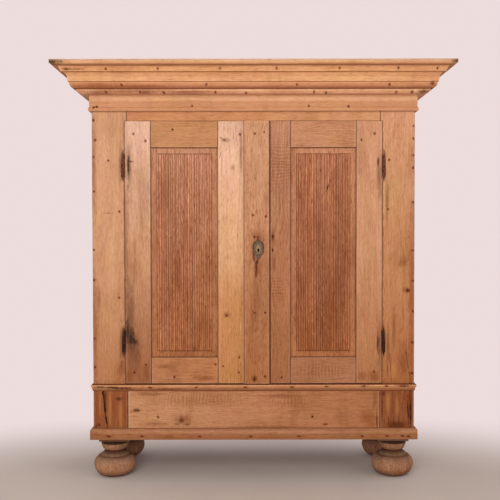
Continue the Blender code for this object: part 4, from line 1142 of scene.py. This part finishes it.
def select_front(piece):
    """Selects the foremost faces of a mesh in edit mode."""
    bpy.ops.object.mode_set(mode="OBJECT")
    front = min(polygon.center.y for polygon in piece.data.polygons)
    for polygon in piece.data.polygons:
        polygon.select = polygon.center.y < front + TOUCH
    bpy.ops.object.mode_set(mode="EDIT")


def cut_face(piece, axis, places):
    """Cuts the selected faces of the mesh in edit mode at each place along an axis."""
    for place in places:
        bpy.ops.mesh.bisect(**cutting_plane(axis, place))
        select_front(piece)


def blank_panel(name, low, high):
    """A board with a tongue all round and a sloping margin, still in edit mode."""
    size = Vector(high) - Vector(low)
    size.y = high[1] - TONGUE_FRONT
    middle = Vector((low[0] + size.x / 2, TONGUE_FRONT + size.y / 2, low[2] + size.z / 2))
    bpy.ops.mesh.primitive_cube_add(size=1, location=middle)
    piece = bpy.context.object
    piece.name = name
    piece.scale = size
    bpy.ops.object.transform_apply(location=True, scale=True)
    bpy.ops.object.mode_set(mode="EDIT")
    bpy.ops.mesh.select_mode(type="FACE")
    bpy.ops.mesh.select_all(action="DESELECT")
    select_front(piece)
    bpy.ops.mesh.inset(thickness=TONGUE_HIDDEN, depth=0)
    bpy.ops.mesh.inset(thickness=MARGIN_WIDTH, depth=MARGIN_RISE)
    select_front(piece)
    return piece


def carved_panel(name, low, high):
    """A panel with its reeds, and the left, right, bottom and top of their field."""
    piece = blank_panel(name, low, high)
    edge = TONGUE_HIDDEN + MARGIN_WIDTH
    left, right, bottom, top = low[0] + edge, high[0] - edge, low[2] + edge, high[2] - edge
    edges = reed_edges(left, right)
    columns = []
    for start, end in zip(edges, edges[1:]):
        columns += [start + (end - start) * number / CUTS_PER_REED for number in range(CUTS_PER_REED)]
    cut_face(piece, 0, columns[1:])
    rows = [bottom + REED_END / 2, bottom + REED_END, top - REED_END, top - REED_END / 2]
    rows += [bottom + (top - bottom) * number / ROWS for number in range(1, ROWS)]
    cut_face(piece, 2, rows)
    bpy.ops.object.mode_set(mode="OBJECT")
    waves = [[reed_dice.uniform(*ends) for ends in REED_WAVES] for _ in edges]
    heights = [reed_dice.uniform(*REED_HEIGHTS) for _ in edges]
    for vertex in piece.data.vertices:
        x, y, z = vertex.co
        inside = min(x - left, right - x, z - bottom, top - z)
        if y > TONGUE_FRONT - MARGIN_RISE + TOUCH or inside < 2 * TOUCH:
            continue
        number = max(index for index, place in enumerate(edges[:-1]) if place <= x + TOUCH / 10)
        start, end = edges[number], edges[number + 1]
        across = (x - start) / (end - start)
        round_off = math.sqrt(max(0.0, 1 - (2 * across - 1) ** 2))
        fade_out = min(1.0, min(z - bottom, top - z) / REED_END)
        vertex.co.y -= REED_SWELL * heights[number] * round_off * fade_out + TOUCH
        phase, turns, sway = waves[number]
        waver = SLOW_WAVER * sway * math.sin(phase + turns * z * 2)
        waver += QUICK_WAVER * math.sin(9 * z + 3 * phase)
        vertex.co.x += waver * min(1.0, inside / WAVER_START)
    make_active(piece)
    smooth(40)
    return piece, (left, right, bottom, top)


print("panel carving ready")

# %% [markdown]
# ## Panel finish
#
# The panels kept more of their old red-brown colour than the frames, and like them they grow darker
# towards the foot, partly as painted shade. The crests of the reeds are paler, partly rubbed and partly a
# painted highlight. The grooves between them are dark with dirt and painted shade, and the sloping margin
# is scrubbed pale between two dark rims of dirt and painted shade, one at the edge of the field and one in
# the recess against the frame. Crest and groove are told apart by their depth along Y, so the pattern
# follows the carving exactly.

# %% Dress the panels
PANEL_TINTS = {
    "left_panel": [(0.0, 158, 97, 62), (0.35, 162, 103, 70), (1.0, 180, 122, 93)],
    "right_panel": [(0.0, 156, 93, 57), (0.35, 152, 93, 62), (1.0, 170, 109, 78)],
}
PANEL_LOOKS = {"drift": 0.08, "contrast": 1.4, "figure": 0.4, "flecks": 0.8, "smoke": 0.7}
MARGIN_PALE = {"left_panel": (1.13, 1.25, 1.23, 1), "right_panel": (1.32, 1.56, 1.66, 1)}
CREST_WEAR_AND_HIGHLIGHT = (1.48, 1.68, 1.82, 1)
GROOVE_DIRT_AND_SHADE = (0.24, 0.19, 0.17, 1)
RIM_DIRT_AND_SHADE = paint(92, 40, 16)
FIELD_FRONT = TONGUE_FRONT - MARGIN_RISE
CREST_DEPTH = (FIELD_FRONT - 0.0015, FIELD_FRONT - 0.0025)
GROOVE_DEPTH = (FIELD_FRONT - 0.0014, FIELD_FRONT - 0.0002)
FACE_DEPTH = (FIELD_FRONT + 0.0050, FIELD_FRONT + 0.0040)
RUBBED_SIZE = (130.0, 1.0, 30.0)
RUBBED_LOOK = (1.0, 4.0, 0.7)
RUBBED_RANGE = (0.38, 0.62, 0.15, 1.0)
MARGIN_EDGE = (0.0002, -0.0006)
INNER_RIM = (0.0034, 0.0004)
OUTER_RIM = (0.0060, 0.0008)
GROOVE_SHARE, INNER_SHADE, OUTER_SHADE = 0.8, 0.36, 0.45
PANEL_MARKS = {
    "left_panel": {
        "russet": [(164, 190, 0.05, 0.16), (204, 328, 0.05, 0.09), (176, 270, 0.03, 0.10)],
    },
    "right_panel": {
        "russet": [(318, 230, 0.06, 0.16), (334, 300, 0.05, 0.14), (305, 338, 0.05, 0.07)],
        "split": [(331.5, 178.5, 328.5, 183.5, 0.003), (328.5, 183.5, 327.4, 190, 0.0035)],
    },
}


def panel_material(node, low, high, field):
    """Oak whose reeds are pale on their crests and dark in their grooves, with dark rims. The pale crests
    are partly a painted highlight, and the grooves and rims are partly painted shade.
    """
    looks = {"marks": marks_on(node, PANEL_MARKS[node]), **PANEL_LOOKS}
    material = oak(node + "_oak", low, high, PANEL_TINTS[node], seed_of(node), **looks)
    shader = material.node_tree.nodes["Principled BSDF"]
    coords = add(material.node_tree, "TexCoord").outputs["Object"]
    places = axes_of(coords)
    left, right, bottom, top = field
    sides = least(minus(places["X"], left), minus(right, places["X"]))
    inside = least(sides, least(minus(places["Z"], bottom), minus(top, places["Z"])))
    facing = fade(places["Y"], *FACE_DEPTH)
    margin = fade(inside, *MARGIN_EDGE)
    rubbed = noise(vector_calc("MULTIPLY", coords, RUBBED_SIZE), *RUBBED_LOOK)
    crest = times(fade(places["Y"], *CREST_DEPTH), fade(rubbed, *RUBBED_RANGE))
    groove = times(times(fade(places["Y"], *GROOVE_DEPTH), GROOVE_SHARE), facing)
    groove = times(groove, minus(1.0, margin))
    edge = times(times(fade(calc("ABSOLUTE", inside), *INNER_RIM), INNER_SHADE), facing)
    rim = times(fade(plus(MARGIN_WIDTH, inside), *OUTER_RIM), OUTER_SHADE)
    # Painted highlight with wear on the crests, and painted shade with dirt in the grooves and rims.
    colour = mix(crest, shader.inputs["Base Color"].links[0].from_socket, CREST_WEAR_AND_HIGHLIGHT, "MULTIPLY")
    colour = mix(groove, colour, GROOVE_DIRT_AND_SHADE, "MULTIPLY")
    colour = mix(times(margin, facing), colour, MARGIN_PALE[node], "MULTIPLY")
    colour = mix(edge, colour, RIM_DIRT_AND_SHADE)
    fill(shader, {"Base Color": mix(rim, colour, RIM_DIRT_AND_SHADE)})
    return material


for name in PANEL_TINTS:
    low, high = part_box(name)
    piece, field = carved_panel(name + "_carved", low, high)
    dress(piece, name, panel_material(name, low, high, field))
    print(piece.name, len(piece.data.polygons), "faces")

# %% [markdown]
# ## Turned feet
#
# A bun foot is turned on a lathe: a squat ball, a narrow neck, and a dished collar that carries the base.
# The profile is drawn as one chain of points, which are extruded from each other and then spun round the
# upright axis. One foot is made so. The four feet are copies of it, each turned about and worn in its own
# way, because the old ones are dented and out of round.

# %% Turn the feet
FOOT_PROFILE = (
    (0.0, 0.0), (0.050, 0.0), (0.060, 0.0012), (0.074, 0.0075), (0.087, 0.019), (0.095, 0.033),
    (0.0992, 0.047), (0.0996, 0.057), (0.0978, 0.068), (0.0925, 0.079), (0.0840, 0.0885),
    (0.0770, 0.0940), (0.0735, 0.0960), (0.0715, 0.0958), (0.0700, 0.0978), (0.0670, 0.1005),
    (0.0600, 0.1065), (0.0530, 0.1120), (0.0485, 0.1165), (0.0470, 0.1200), (0.0472, 0.1240),
    (0.0540, 0.1255), (0.0562, 0.1275), (0.0595, 0.1340), (0.0628, 0.1415), (0.0654, 0.1485),
    (0.0662, 0.1525), (0.0654, 0.1560), (0.0628, 0.1580), (0.0628, 0.1600), (0.0656, 0.1615),
    (0.0656, 0.1835), (0.0, 0.1835),
)
FOOT_TOP = 0.1835
FOOT_STEPS = 72
FOOT_CUT = 0.006
FOOT_WEAR = 0.0022
FOOT_CLOUD = 0.05
FOOT_TURN = 1.9


def lathe_foot():
    """Spins the profile round the upright axis."""
    bpy.ops.mesh.primitive_plane_add(size=0.01, location=(0, 0, 0))
    bpy.ops.object.mode_set(mode="EDIT")
    bpy.ops.mesh.select_mode(type="VERT")
    bpy.ops.mesh.select_all(action="SELECT")
    bpy.ops.mesh.merge(type="CENTER")
    for (radius, height), (next_radius, next_height) in zip(FOOT_PROFILE, FOOT_PROFILE[1:]):
        step = (next_radius - radius, 0, next_height - height)
        bpy.ops.mesh.extrude_vertices_move(TRANSFORM_OT_translate={"value": step})
    bpy.ops.mesh.select_all(action="SELECT")
    bpy.ops.mesh.spin(steps=FOOT_STEPS, angle=2 * math.pi, center=(0, 0, 0), axis=(0, 0, 1))
    bpy.ops.mesh.select_all(action="SELECT")
    bpy.ops.mesh.remove_doubles(threshold=MERGE_REACH)
    bpy.ops.mesh.normals_make_consistent(inside=False)
    bpy.ops.object.mode_set(mode="OBJECT")
    return bpy.context.object


def placed_foot(model, name, place, number):
    """A worn copy of the foot, turned by its number."""
    piece = linked_copy(name, model.data)
    edit_all(piece)
    bpy.ops.transform.rotate(value=number * FOOT_TURN, orient_axis="Z", center_override=(0, 0, 0))
    bpy.ops.transform.translate(value=place)
    bpy.ops.object.mode_set(mode="OBJECT")
    cut_across(piece, 2, FOOT_CUT)
    wear(piece, FOOT_WEAR, FOOT_CLOUD)
    smooth(38)
    return piece


# The tints run up the foot and hold painted light and shade besides the oak's tone: dark at the floor, at
# the shoulder ring, in the neck and on the top of the collar under the base, and paler on the bulge of the
# bun and on the lower band of the collar, where the light falls.
FOOT_TINTS_AND_SHADE = [
    (0.0, 80, 54, 38), (0.06, 128, 92, 68), (0.22, 170, 122, 90), (0.38, 166, 122, 94),
    (0.48, 150, 112, 88), (0.53, 112, 80, 60), (0.56, 138, 104, 80), (0.62, 92, 62, 46),
    (0.66, 72, 48, 35), (0.70, 154, 112, 85), (0.83, 172, 127, 96), (0.86, 80, 52, 38),
    (1.0, 42, 26, 19),
]
# Dark rings round the foot; those at the shoulder ring and in the neck are painted shade.
FOOT_LINES = [(0.0962, 0.0011, 0.75), (0.0265, 0.0010, 0.25), (0.1225, 0.0028, 0.9)]
FOOT_LOOKS = {"face": "XYZ", "drift": 0.03, "contrast": 1.5, "figure": 0.3, "flecks": 0.6, "dirt": 0.0,
              "roughness": (0.66, 0.82), "lines": FOOT_LINES}
FOOT_SEED = 70
FEET = [name for name in nodes if name.startswith("foot_")]
model = lathe_foot()
for number, node in enumerate(FEET):
    low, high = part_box(node)
    middle = ((low[0] + high[0]) / 2, (low[1] + high[1]) / 2, 0)
    piece = placed_foot(model, node + "_turned", middle, number)
    seed = FOOT_SEED + number
    material = oak(node + "_oak", (-1, -1, 0.0), (1, 1, FOOT_TOP), FOOT_TINTS_AND_SHADE, seed, **FOOT_LOOKS)
    dress(piece, node, material)
bpy.data.objects.remove(model)
print("feet turned:", len(FEET))

# %% [markdown]
# ## Iron
#
# The hinges, the lock and the nails are wrought iron: nearly black in the hollows and brown with rust on
# the high places. Rust is a group, because each iron piece has its own share of it. The upper hinges are
# rustier than the lower ones, and the nail heads have taken on the red of the oak.

# %% Make the iron
RUST_DARK = paint(52, 25, 16)
RUST_BROWN = paint(120, 69, 48)
RUST_PALE = paint(138, 86, 62)
OLD_RED = paint(88, 26, 4)
COARSE_RUST = (90.0, 5.0, 0.65)
FINE_RUST = (700.0, 3.0)
RUST_RANGE = (0.42, 0.62)
PALE_RANGE, PALE_SHARE = (0.60, 0.74), 0.35
RUST_GLOSS = (0.0, 1.0, 0.50, 0.85)
IRON_SPECULAR = 0.12
IRON_BUMP = (0.6, 0.0006)

rust, given, result = new_group(
    "rust",
    {"Vector": (0, 0, 0), "Amount": 0.5},
    {"Color": "Color", "Roughness": "Float", "Height": "Float"},
)
coarse = noise(given["Vector"], *COARSE_RUST)
fine = noise(given["Vector"], *FINE_RUST)
rusty = fade(plus(coarse, swing(given["Amount"], 0.5)), *RUST_RANGE)
colour = mix(times(fade(fine, *PALE_RANGE), PALE_SHARE), mix(rusty, RUST_DARK, RUST_BROWN), RUST_PALE)
height = plus(coarse, times(fine, 0.4))
fill(result, {"Color": colour, "Roughness": fade(rusty, *RUST_GLOSS), "Height": height})


def iron(name, amount, shine=0.1, redder=0.0):
    material, shader, coords = new_material(name)
    parts = use(rust, {"Vector": coords, "Amount": amount})
    colour = mix(redder, parts["Color"], OLD_RED)
    finish_shader(shader, colour, parts["Roughness"], IRON_SPECULAR, shine, (parts["Height"], *IRON_BUMP))
    return material


HINGE_IRONS = {"upper": iron("upper_hinge_iron", 0.62), "lower": iron("lower_hinge_iron", 0.28)}
lock_iron = iron("lock_iron", 0.35)
nail_iron = iron("nail_iron", 0.45, 0.0, 0.8)
print("iron ready")

# %% [markdown]
# ## Hinges and lock
#
# Each hinge is a long spindle that tapers at both ends, with its leaves let into the wood. Half of it
# belongs to the corner stile and half to the door. The worn copies keep the solids' joint and pin. Their
# barrels are drawn in towards the axis, more and more to the tips, and a strong, fine wear gives them
# their hammered look. The lock sits behind the door.

# %% Dress the iron
HINGE_NODES = [name for name in nodes if name.startswith("hinge_")]
HINGE_AXIS = Vector((0.6015, -0.1945))
BARREL_REACH = 0.0095
BARREL_HALF = 0.075
BARREL_SHARE = 0.86
TIP_SHARE = 0.18
TIP_POWER = 1.4
HINGE_STEP = 0.004
HAMMERED = (0.0009, 0.012)


def taper_barrel(piece, middle):
    """Draws the barrel's points towards its axis, more and more to the tip."""
    side = 1 if piece.data.vertices[0].co.x > 0 else -1
    axis = Vector((side * HINGE_AXIS.x, HINGE_AXIS.y))
    for vertex in piece.data.vertices:
        away = vertex.co.xy - axis
        if away.length < BARREL_REACH:
            along = min(1.0, abs(vertex.co.z - middle) / BARREL_HALF)
            away *= BARREL_SHARE * (1 - (1 - TIP_SHARE) * along ** TIP_POWER)
            vertex.co.xy = axis + away


for node in HINGE_NODES:
    piece = worn_copy(node, "Z", HINGE_STEP, 0.0)
    halves = [node.replace("frame", leaf).replace("door", leaf) for leaf in ("frame", "door")]
    heights = [corner[2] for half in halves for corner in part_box(half)]
    taper_barrel(piece, (min(heights) + max(heights)) / 2)
    wear(piece, *HAMMERED)
    smooth(40)
    dress(piece, node, HINGE_IRONS["upper" if "upper" in node else "lower"])
for node in ("lock_case", "lock_bolt", "lock_keeper"):
    refinish(node, lock_iron)
print("hinge halves:", len(HINGE_NODES))

# %% [markdown]
# ## Key plate
#
# The small cast key plate is a pointed oval with a raised middle, scrolled leaves above the keyhole and
# dull grey-brown metal. Its raised parts are paler, partly rubbed and partly a painted highlight. Two ovals
# of painted shade darken it: one is hollow and follows the rim, and a small one sits behind the keyhole.
# The plate is a worn copy of its solid. Each scroll is a short arc of a ring, cut from a torus, and is
# mirrored to the other side.

# %% Dress the key plate
PLATE_LOW, PLATE_HIGH = (Vector(corner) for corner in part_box("escutcheon"))
PLATE_MIDDLE = (PLATE_LOW + PLATE_HIGH) / 2
PLATE_DARK, PLATE_PALE = paint(72, 50, 38), paint(126, 102, 82)
PLATE_RUBBED_AND_HIGHLIGHT, PLATE_SPECK = paint(166, 138, 104), paint(54, 40, 30)
RUBBED_AND_LIT_DEPTH = (PLATE_LOW.y + 0.0020, PLATE_LOW.y + 0.0004, 0.0, 0.6)
PLATE_SHADE_OVALS = (
    ((0.0, 0.0, 0.0), (0.0265, 1.0, 0.0490), (0.70, 0.98, 0.0, 0.75), paint(60, 36, 22)),
    ((0.0, 0.0, -0.0030), (0.0050, 1.0, 0.0055), (1.15, 0.7, 0.0, 0.95), paint(18, 11, 8)),
)
PLATE_CLOUDS, CLOUD_RANGE = (130.0, 4.0, 0.6), (0.35, 0.65)
PLATE_SPECKS, SPECK_RANGE = 900.0, (0.55, 0.70, 0.0, 0.8)
PLATE_GLOSS, PLATE_SPECULAR, PLATE_METAL = (0.3, 0.7, 0.42, 0.66), 0.15, 0.12
PLATE_BUMP = (0.5, 0.0004)
aged_brass, shader, coords = new_material("aged_brass")
cloud = noise(coords, *PLATE_CLOUDS)
colour = mix(fade(cloud, *CLOUD_RANGE), PLATE_DARK, PLATE_PALE)
# The raised parts are paler: rubbed wear and a painted highlight.
colour = mix(fade(axes_of(coords)["Y"], *RUBBED_AND_LIT_DEPTH), colour, PLATE_RUBBED_AND_HIGHLIGHT)
colour = mix(fade(noise(coords, PLATE_SPECKS), *SPECK_RANGE), colour, PLATE_SPECK)
from_middle = vector_calc("SUBTRACT", coords, PLATE_MIDDLE)
# Painted shade round the rim and at the keyhole.
for shift, size, rim, dark in PLATE_SHADE_OVALS:
    spot = vector_calc("DIVIDE", vector_calc("SUBTRACT", from_middle, shift), size)
    colour = mix(fade(vector_calc("LENGTH", vector_calc("MULTIPLY", spot, IN_FRONT)), *rim), colour, dark)
finish_shader(shader, colour, fade(cloud, *PLATE_GLOSS), PLATE_SPECULAR, PLATE_METAL, (cloud, *PLATE_BUMP))

SCROLLS = (
    (0.0016, 0.0125, 0.0066, 0.0017), (0.0100, 0.0194, 0.0060, 0.0013), (0.0060, 0.0294, 0.0045, 0.0011),
    (0.0120, -0.0096, 0.0055, 0.0012), (0.0070, -0.0236, 0.0060, 0.0012), (0.0030, -0.0356, 0.0035, 0.0010),
)
SCROLL_FRONT = PLATE_LOW.y + 0.0011
SCROLL_CUT = 0.45
PLATE_STEP, PLATE_WEAR = 0.003, 0.0004
KNOB_HEIGHTS = (0.0404, -0.0431)
KNOB_RADIUS = 0.0024
KNOB_DEPTH = 0.0025


def scroll(side, across, above, radius, thickness):
    """An open ring on the plate, cut from a torus so that it reads as a curled leaf."""
    place = (PLATE_MIDDLE.x + side * across, SCROLL_FRONT, PLATE_MIDDLE.z + above)
    look = {"major_radius": radius, "minor_radius": thickness, "major_segments": 28, "minor_segments": 8}
    bpy.ops.mesh.primitive_torus_add(location=place, rotation=(math.radians(90), 0, 0), **look)
    ring = bpy.context.object
    bpy.ops.object.transform_apply(location=True, rotation=True)
    edit_all(ring)
    plane = (place[0] - side * radius * SCROLL_CUT, SCROLL_FRONT, place[2])
    bpy.ops.mesh.bisect(plane_co=plane, plane_no=(side, 0, 0.6), clear_inner=True, use_fill=True)
    bpy.ops.object.mode_set(mode="OBJECT")
    smooth(40)
    return ring


def join_pieces(parts, name):
    """Joins pieces into the first one, which gets the name."""
    bpy.ops.object.select_all(action="DESELECT")
    for part in parts:
        part.select_set(True)
    bpy.context.view_layer.objects.active = parts[0]
    bpy.ops.object.join()
    parts[0].name = parts[0].data.name = name
    return parts[0]


plate = worn_copy("escutcheon", "Z", PLATE_STEP, PLATE_WEAR)
relief = [scroll(side, *ring) for ring in SCROLLS for side in (-1, 1)]
for above in KNOB_HEIGHTS:
    place = (PLATE_MIDDLE.x, PLATE_LOW.y + KNOB_DEPTH, PLATE_MIDDLE.z + above)
    bpy.ops.mesh.primitive_uv_sphere_add(radius=KNOB_RADIUS, segments=14, ring_count=8, location=place)
    bpy.ops.object.transform_apply(location=True)
    relief.append(bpy.context.object)
dress(join_pieces([plate] + relief, "escutcheon_cast"), "escutcheon", aged_brass)
print("key plate relief parts:", len(relief))

# %% [markdown]
# ## Nails
#
# The nails have small forged heads, rounded by four or five hammer blows. One head is modelled from a
# flat cylinder: its top is inset and raised, and its rim is bevelled. Every nail is a copy, set at its
# spot, turned its own way, and joined to the others of the same body.

# %% Drive the nails
HEAD_RADIUS = 0.0031
HEAD_HEIGHT = 0.0016
HEAD_INSET, HEAD_CROWN, HEAD_BEVEL = 0.4, 0.3, 0.12
HEAD_SIZES = (0.75, 1.1)
nail_dice = random.Random(7)
bpy.ops.mesh.primitive_cylinder_add(vertices=9, radius=HEAD_RADIUS, depth=HEAD_HEIGHT)
head = bpy.context.object
bpy.ops.object.mode_set(mode="EDIT")
bpy.ops.mesh.select_mode(type="FACE")
bpy.ops.object.mode_set(mode="OBJECT")
for polygon in head.data.polygons:
    polygon.select = polygon.normal.z > 0.9
bpy.ops.object.mode_set(mode="EDIT")
bpy.ops.mesh.inset(thickness=HEAD_RADIUS * HEAD_INSET, depth=HEAD_HEIGHT * HEAD_CROWN)
bpy.ops.mesh.select_all(action="SELECT")
bpy.ops.mesh.bevel(offset=HEAD_RADIUS * HEAD_BEVEL, segments=1)
bpy.ops.object.mode_set(mode="OBJECT")
driven = {}
for node, spots in NAILS.items():
    for spot in spots:
        place, normal = on_node(node, *spot)
        size = nail_dice.uniform(*HEAD_SIZES)
        spin = Matrix.Rotation(nail_dice.uniform(0, 6), 4, "Z")
        turn = normal.to_track_quat("Z", "Y").to_matrix().to_4x4() @ spin
        nail = linked_copy("nail", head.data)
        nail.data.transform(Matrix.Translation(place) @ turn @ Matrix.Scale(size, 4))
        nail.data.materials.append(nail_iron)
        driven.setdefault(nodes[node]["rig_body"], []).append(nail)
bpy.data.objects.remove(head)
for body, nails in driven.items():
    joined = join_pieces(nails, "nails_" + body)
    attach(joined, body)
    print("nails on", body, len(nails))

# %% [markdown]
# ## Floor, background and light
#
# The wardrobe stands on a plain pale floor. The light is soft and comes from the front and a little from
# above, as in a room with white walls, so that a colour looks about as it is written. The background is
# a plain pale tone that only the camera and reflections see.

# %% Set the stage
FLOOR_HALF = 12.0
FLOOR_PALE = paint(212, 198, 188)
FLOOR_DUST = paint(204, 190, 180)
BACKGROUND = paint(237, 220, 220)
FADE_RANGE = (0.9, 1.9)
FADE_CENTRE = (0.0, -0.75, 0.0)
FADE_SHAPE = (0.6, 1.0, 1.0)
WORLD_STRENGTH = 0.55
WORLD_TONE = (1.0, 0.975, 0.96)


def seen_directly(tree):
    """One for the camera, for reflections and for what is seen through glass, and zero for plain light."""
    rays = add(tree, "LightPath").outputs
    return most(most(rays["Is Camera Ray"], rays["Is Glossy Ray"]), rays["Is Transmission Ray"])


bpy.ops.mesh.primitive_plane_add(size=2 * FLOOR_HALF)
floor = bpy.context.object
floor.name = "floor"
floor_paint, shader, coords = new_material("floor_paint")
tree = floor_paint.node_tree
tone = fade(noise(coords, 1.4, 3.0), 0.3, 0.7)
finish_shader(shader, mix(tone, FLOOR_PALE, FLOOR_DUST), 0.9, 0.1)
offset = vector_calc("MULTIPLY", vector_calc("SUBTRACT", coords, FADE_CENTRE), FADE_SHAPE)
blend = times(fade(vector_calc("LENGTH", offset), *FADE_RANGE), seen_directly(tree))
glow = add(tree, "Emission", {"Color": BACKGROUND, "Strength": 1.0}).outputs[0]
both = add(tree, "MixShader", {0: blend, 1: shader.outputs[0], 2: glow}).outputs[0]
fill(tree.nodes["Material Output"], {"Surface": both})
floor.data.materials.append(floor_paint)

world = bpy.data.worlds.new("pale_room")
bpy.context.scene.world = world
world.use_nodes = True
ambient = tuple(WORLD_STRENGTH * part for part in WORLD_TONE) + (1,)
sky = mix(seen_directly(world.node_tree), ambient, BACKGROUND)
fill(world.node_tree.nodes["Background"], {"Strength": 1.0, "Color": sky})


def lamp(name, place, target, size, power):
    """A square soft lamp that faces a point."""
    data = bpy.data.lights.new(name, "AREA")
    data.size = size
    data.energy = power
    made = bpy.data.objects.new(name, data)
    bpy.context.scene.collection.objects.link(made)
    turn = (Vector(target) - Vector(place)).to_track_quat("-Z", "Y").to_matrix().to_4x4()
    made.matrix_world = Matrix.Translation(place) @ turn
    return made


lamp("front_light", (-0.9, -4.6, 2.3), (0, -0.2, 1.0), 2.6, 120)
lamp("side_light", (3.8, -2.6, 2.6), (0, -0.2, 1.0), 2.4, 30)
bpy.context.scene.view_settings.view_transform = "Standard"
print("stage set")
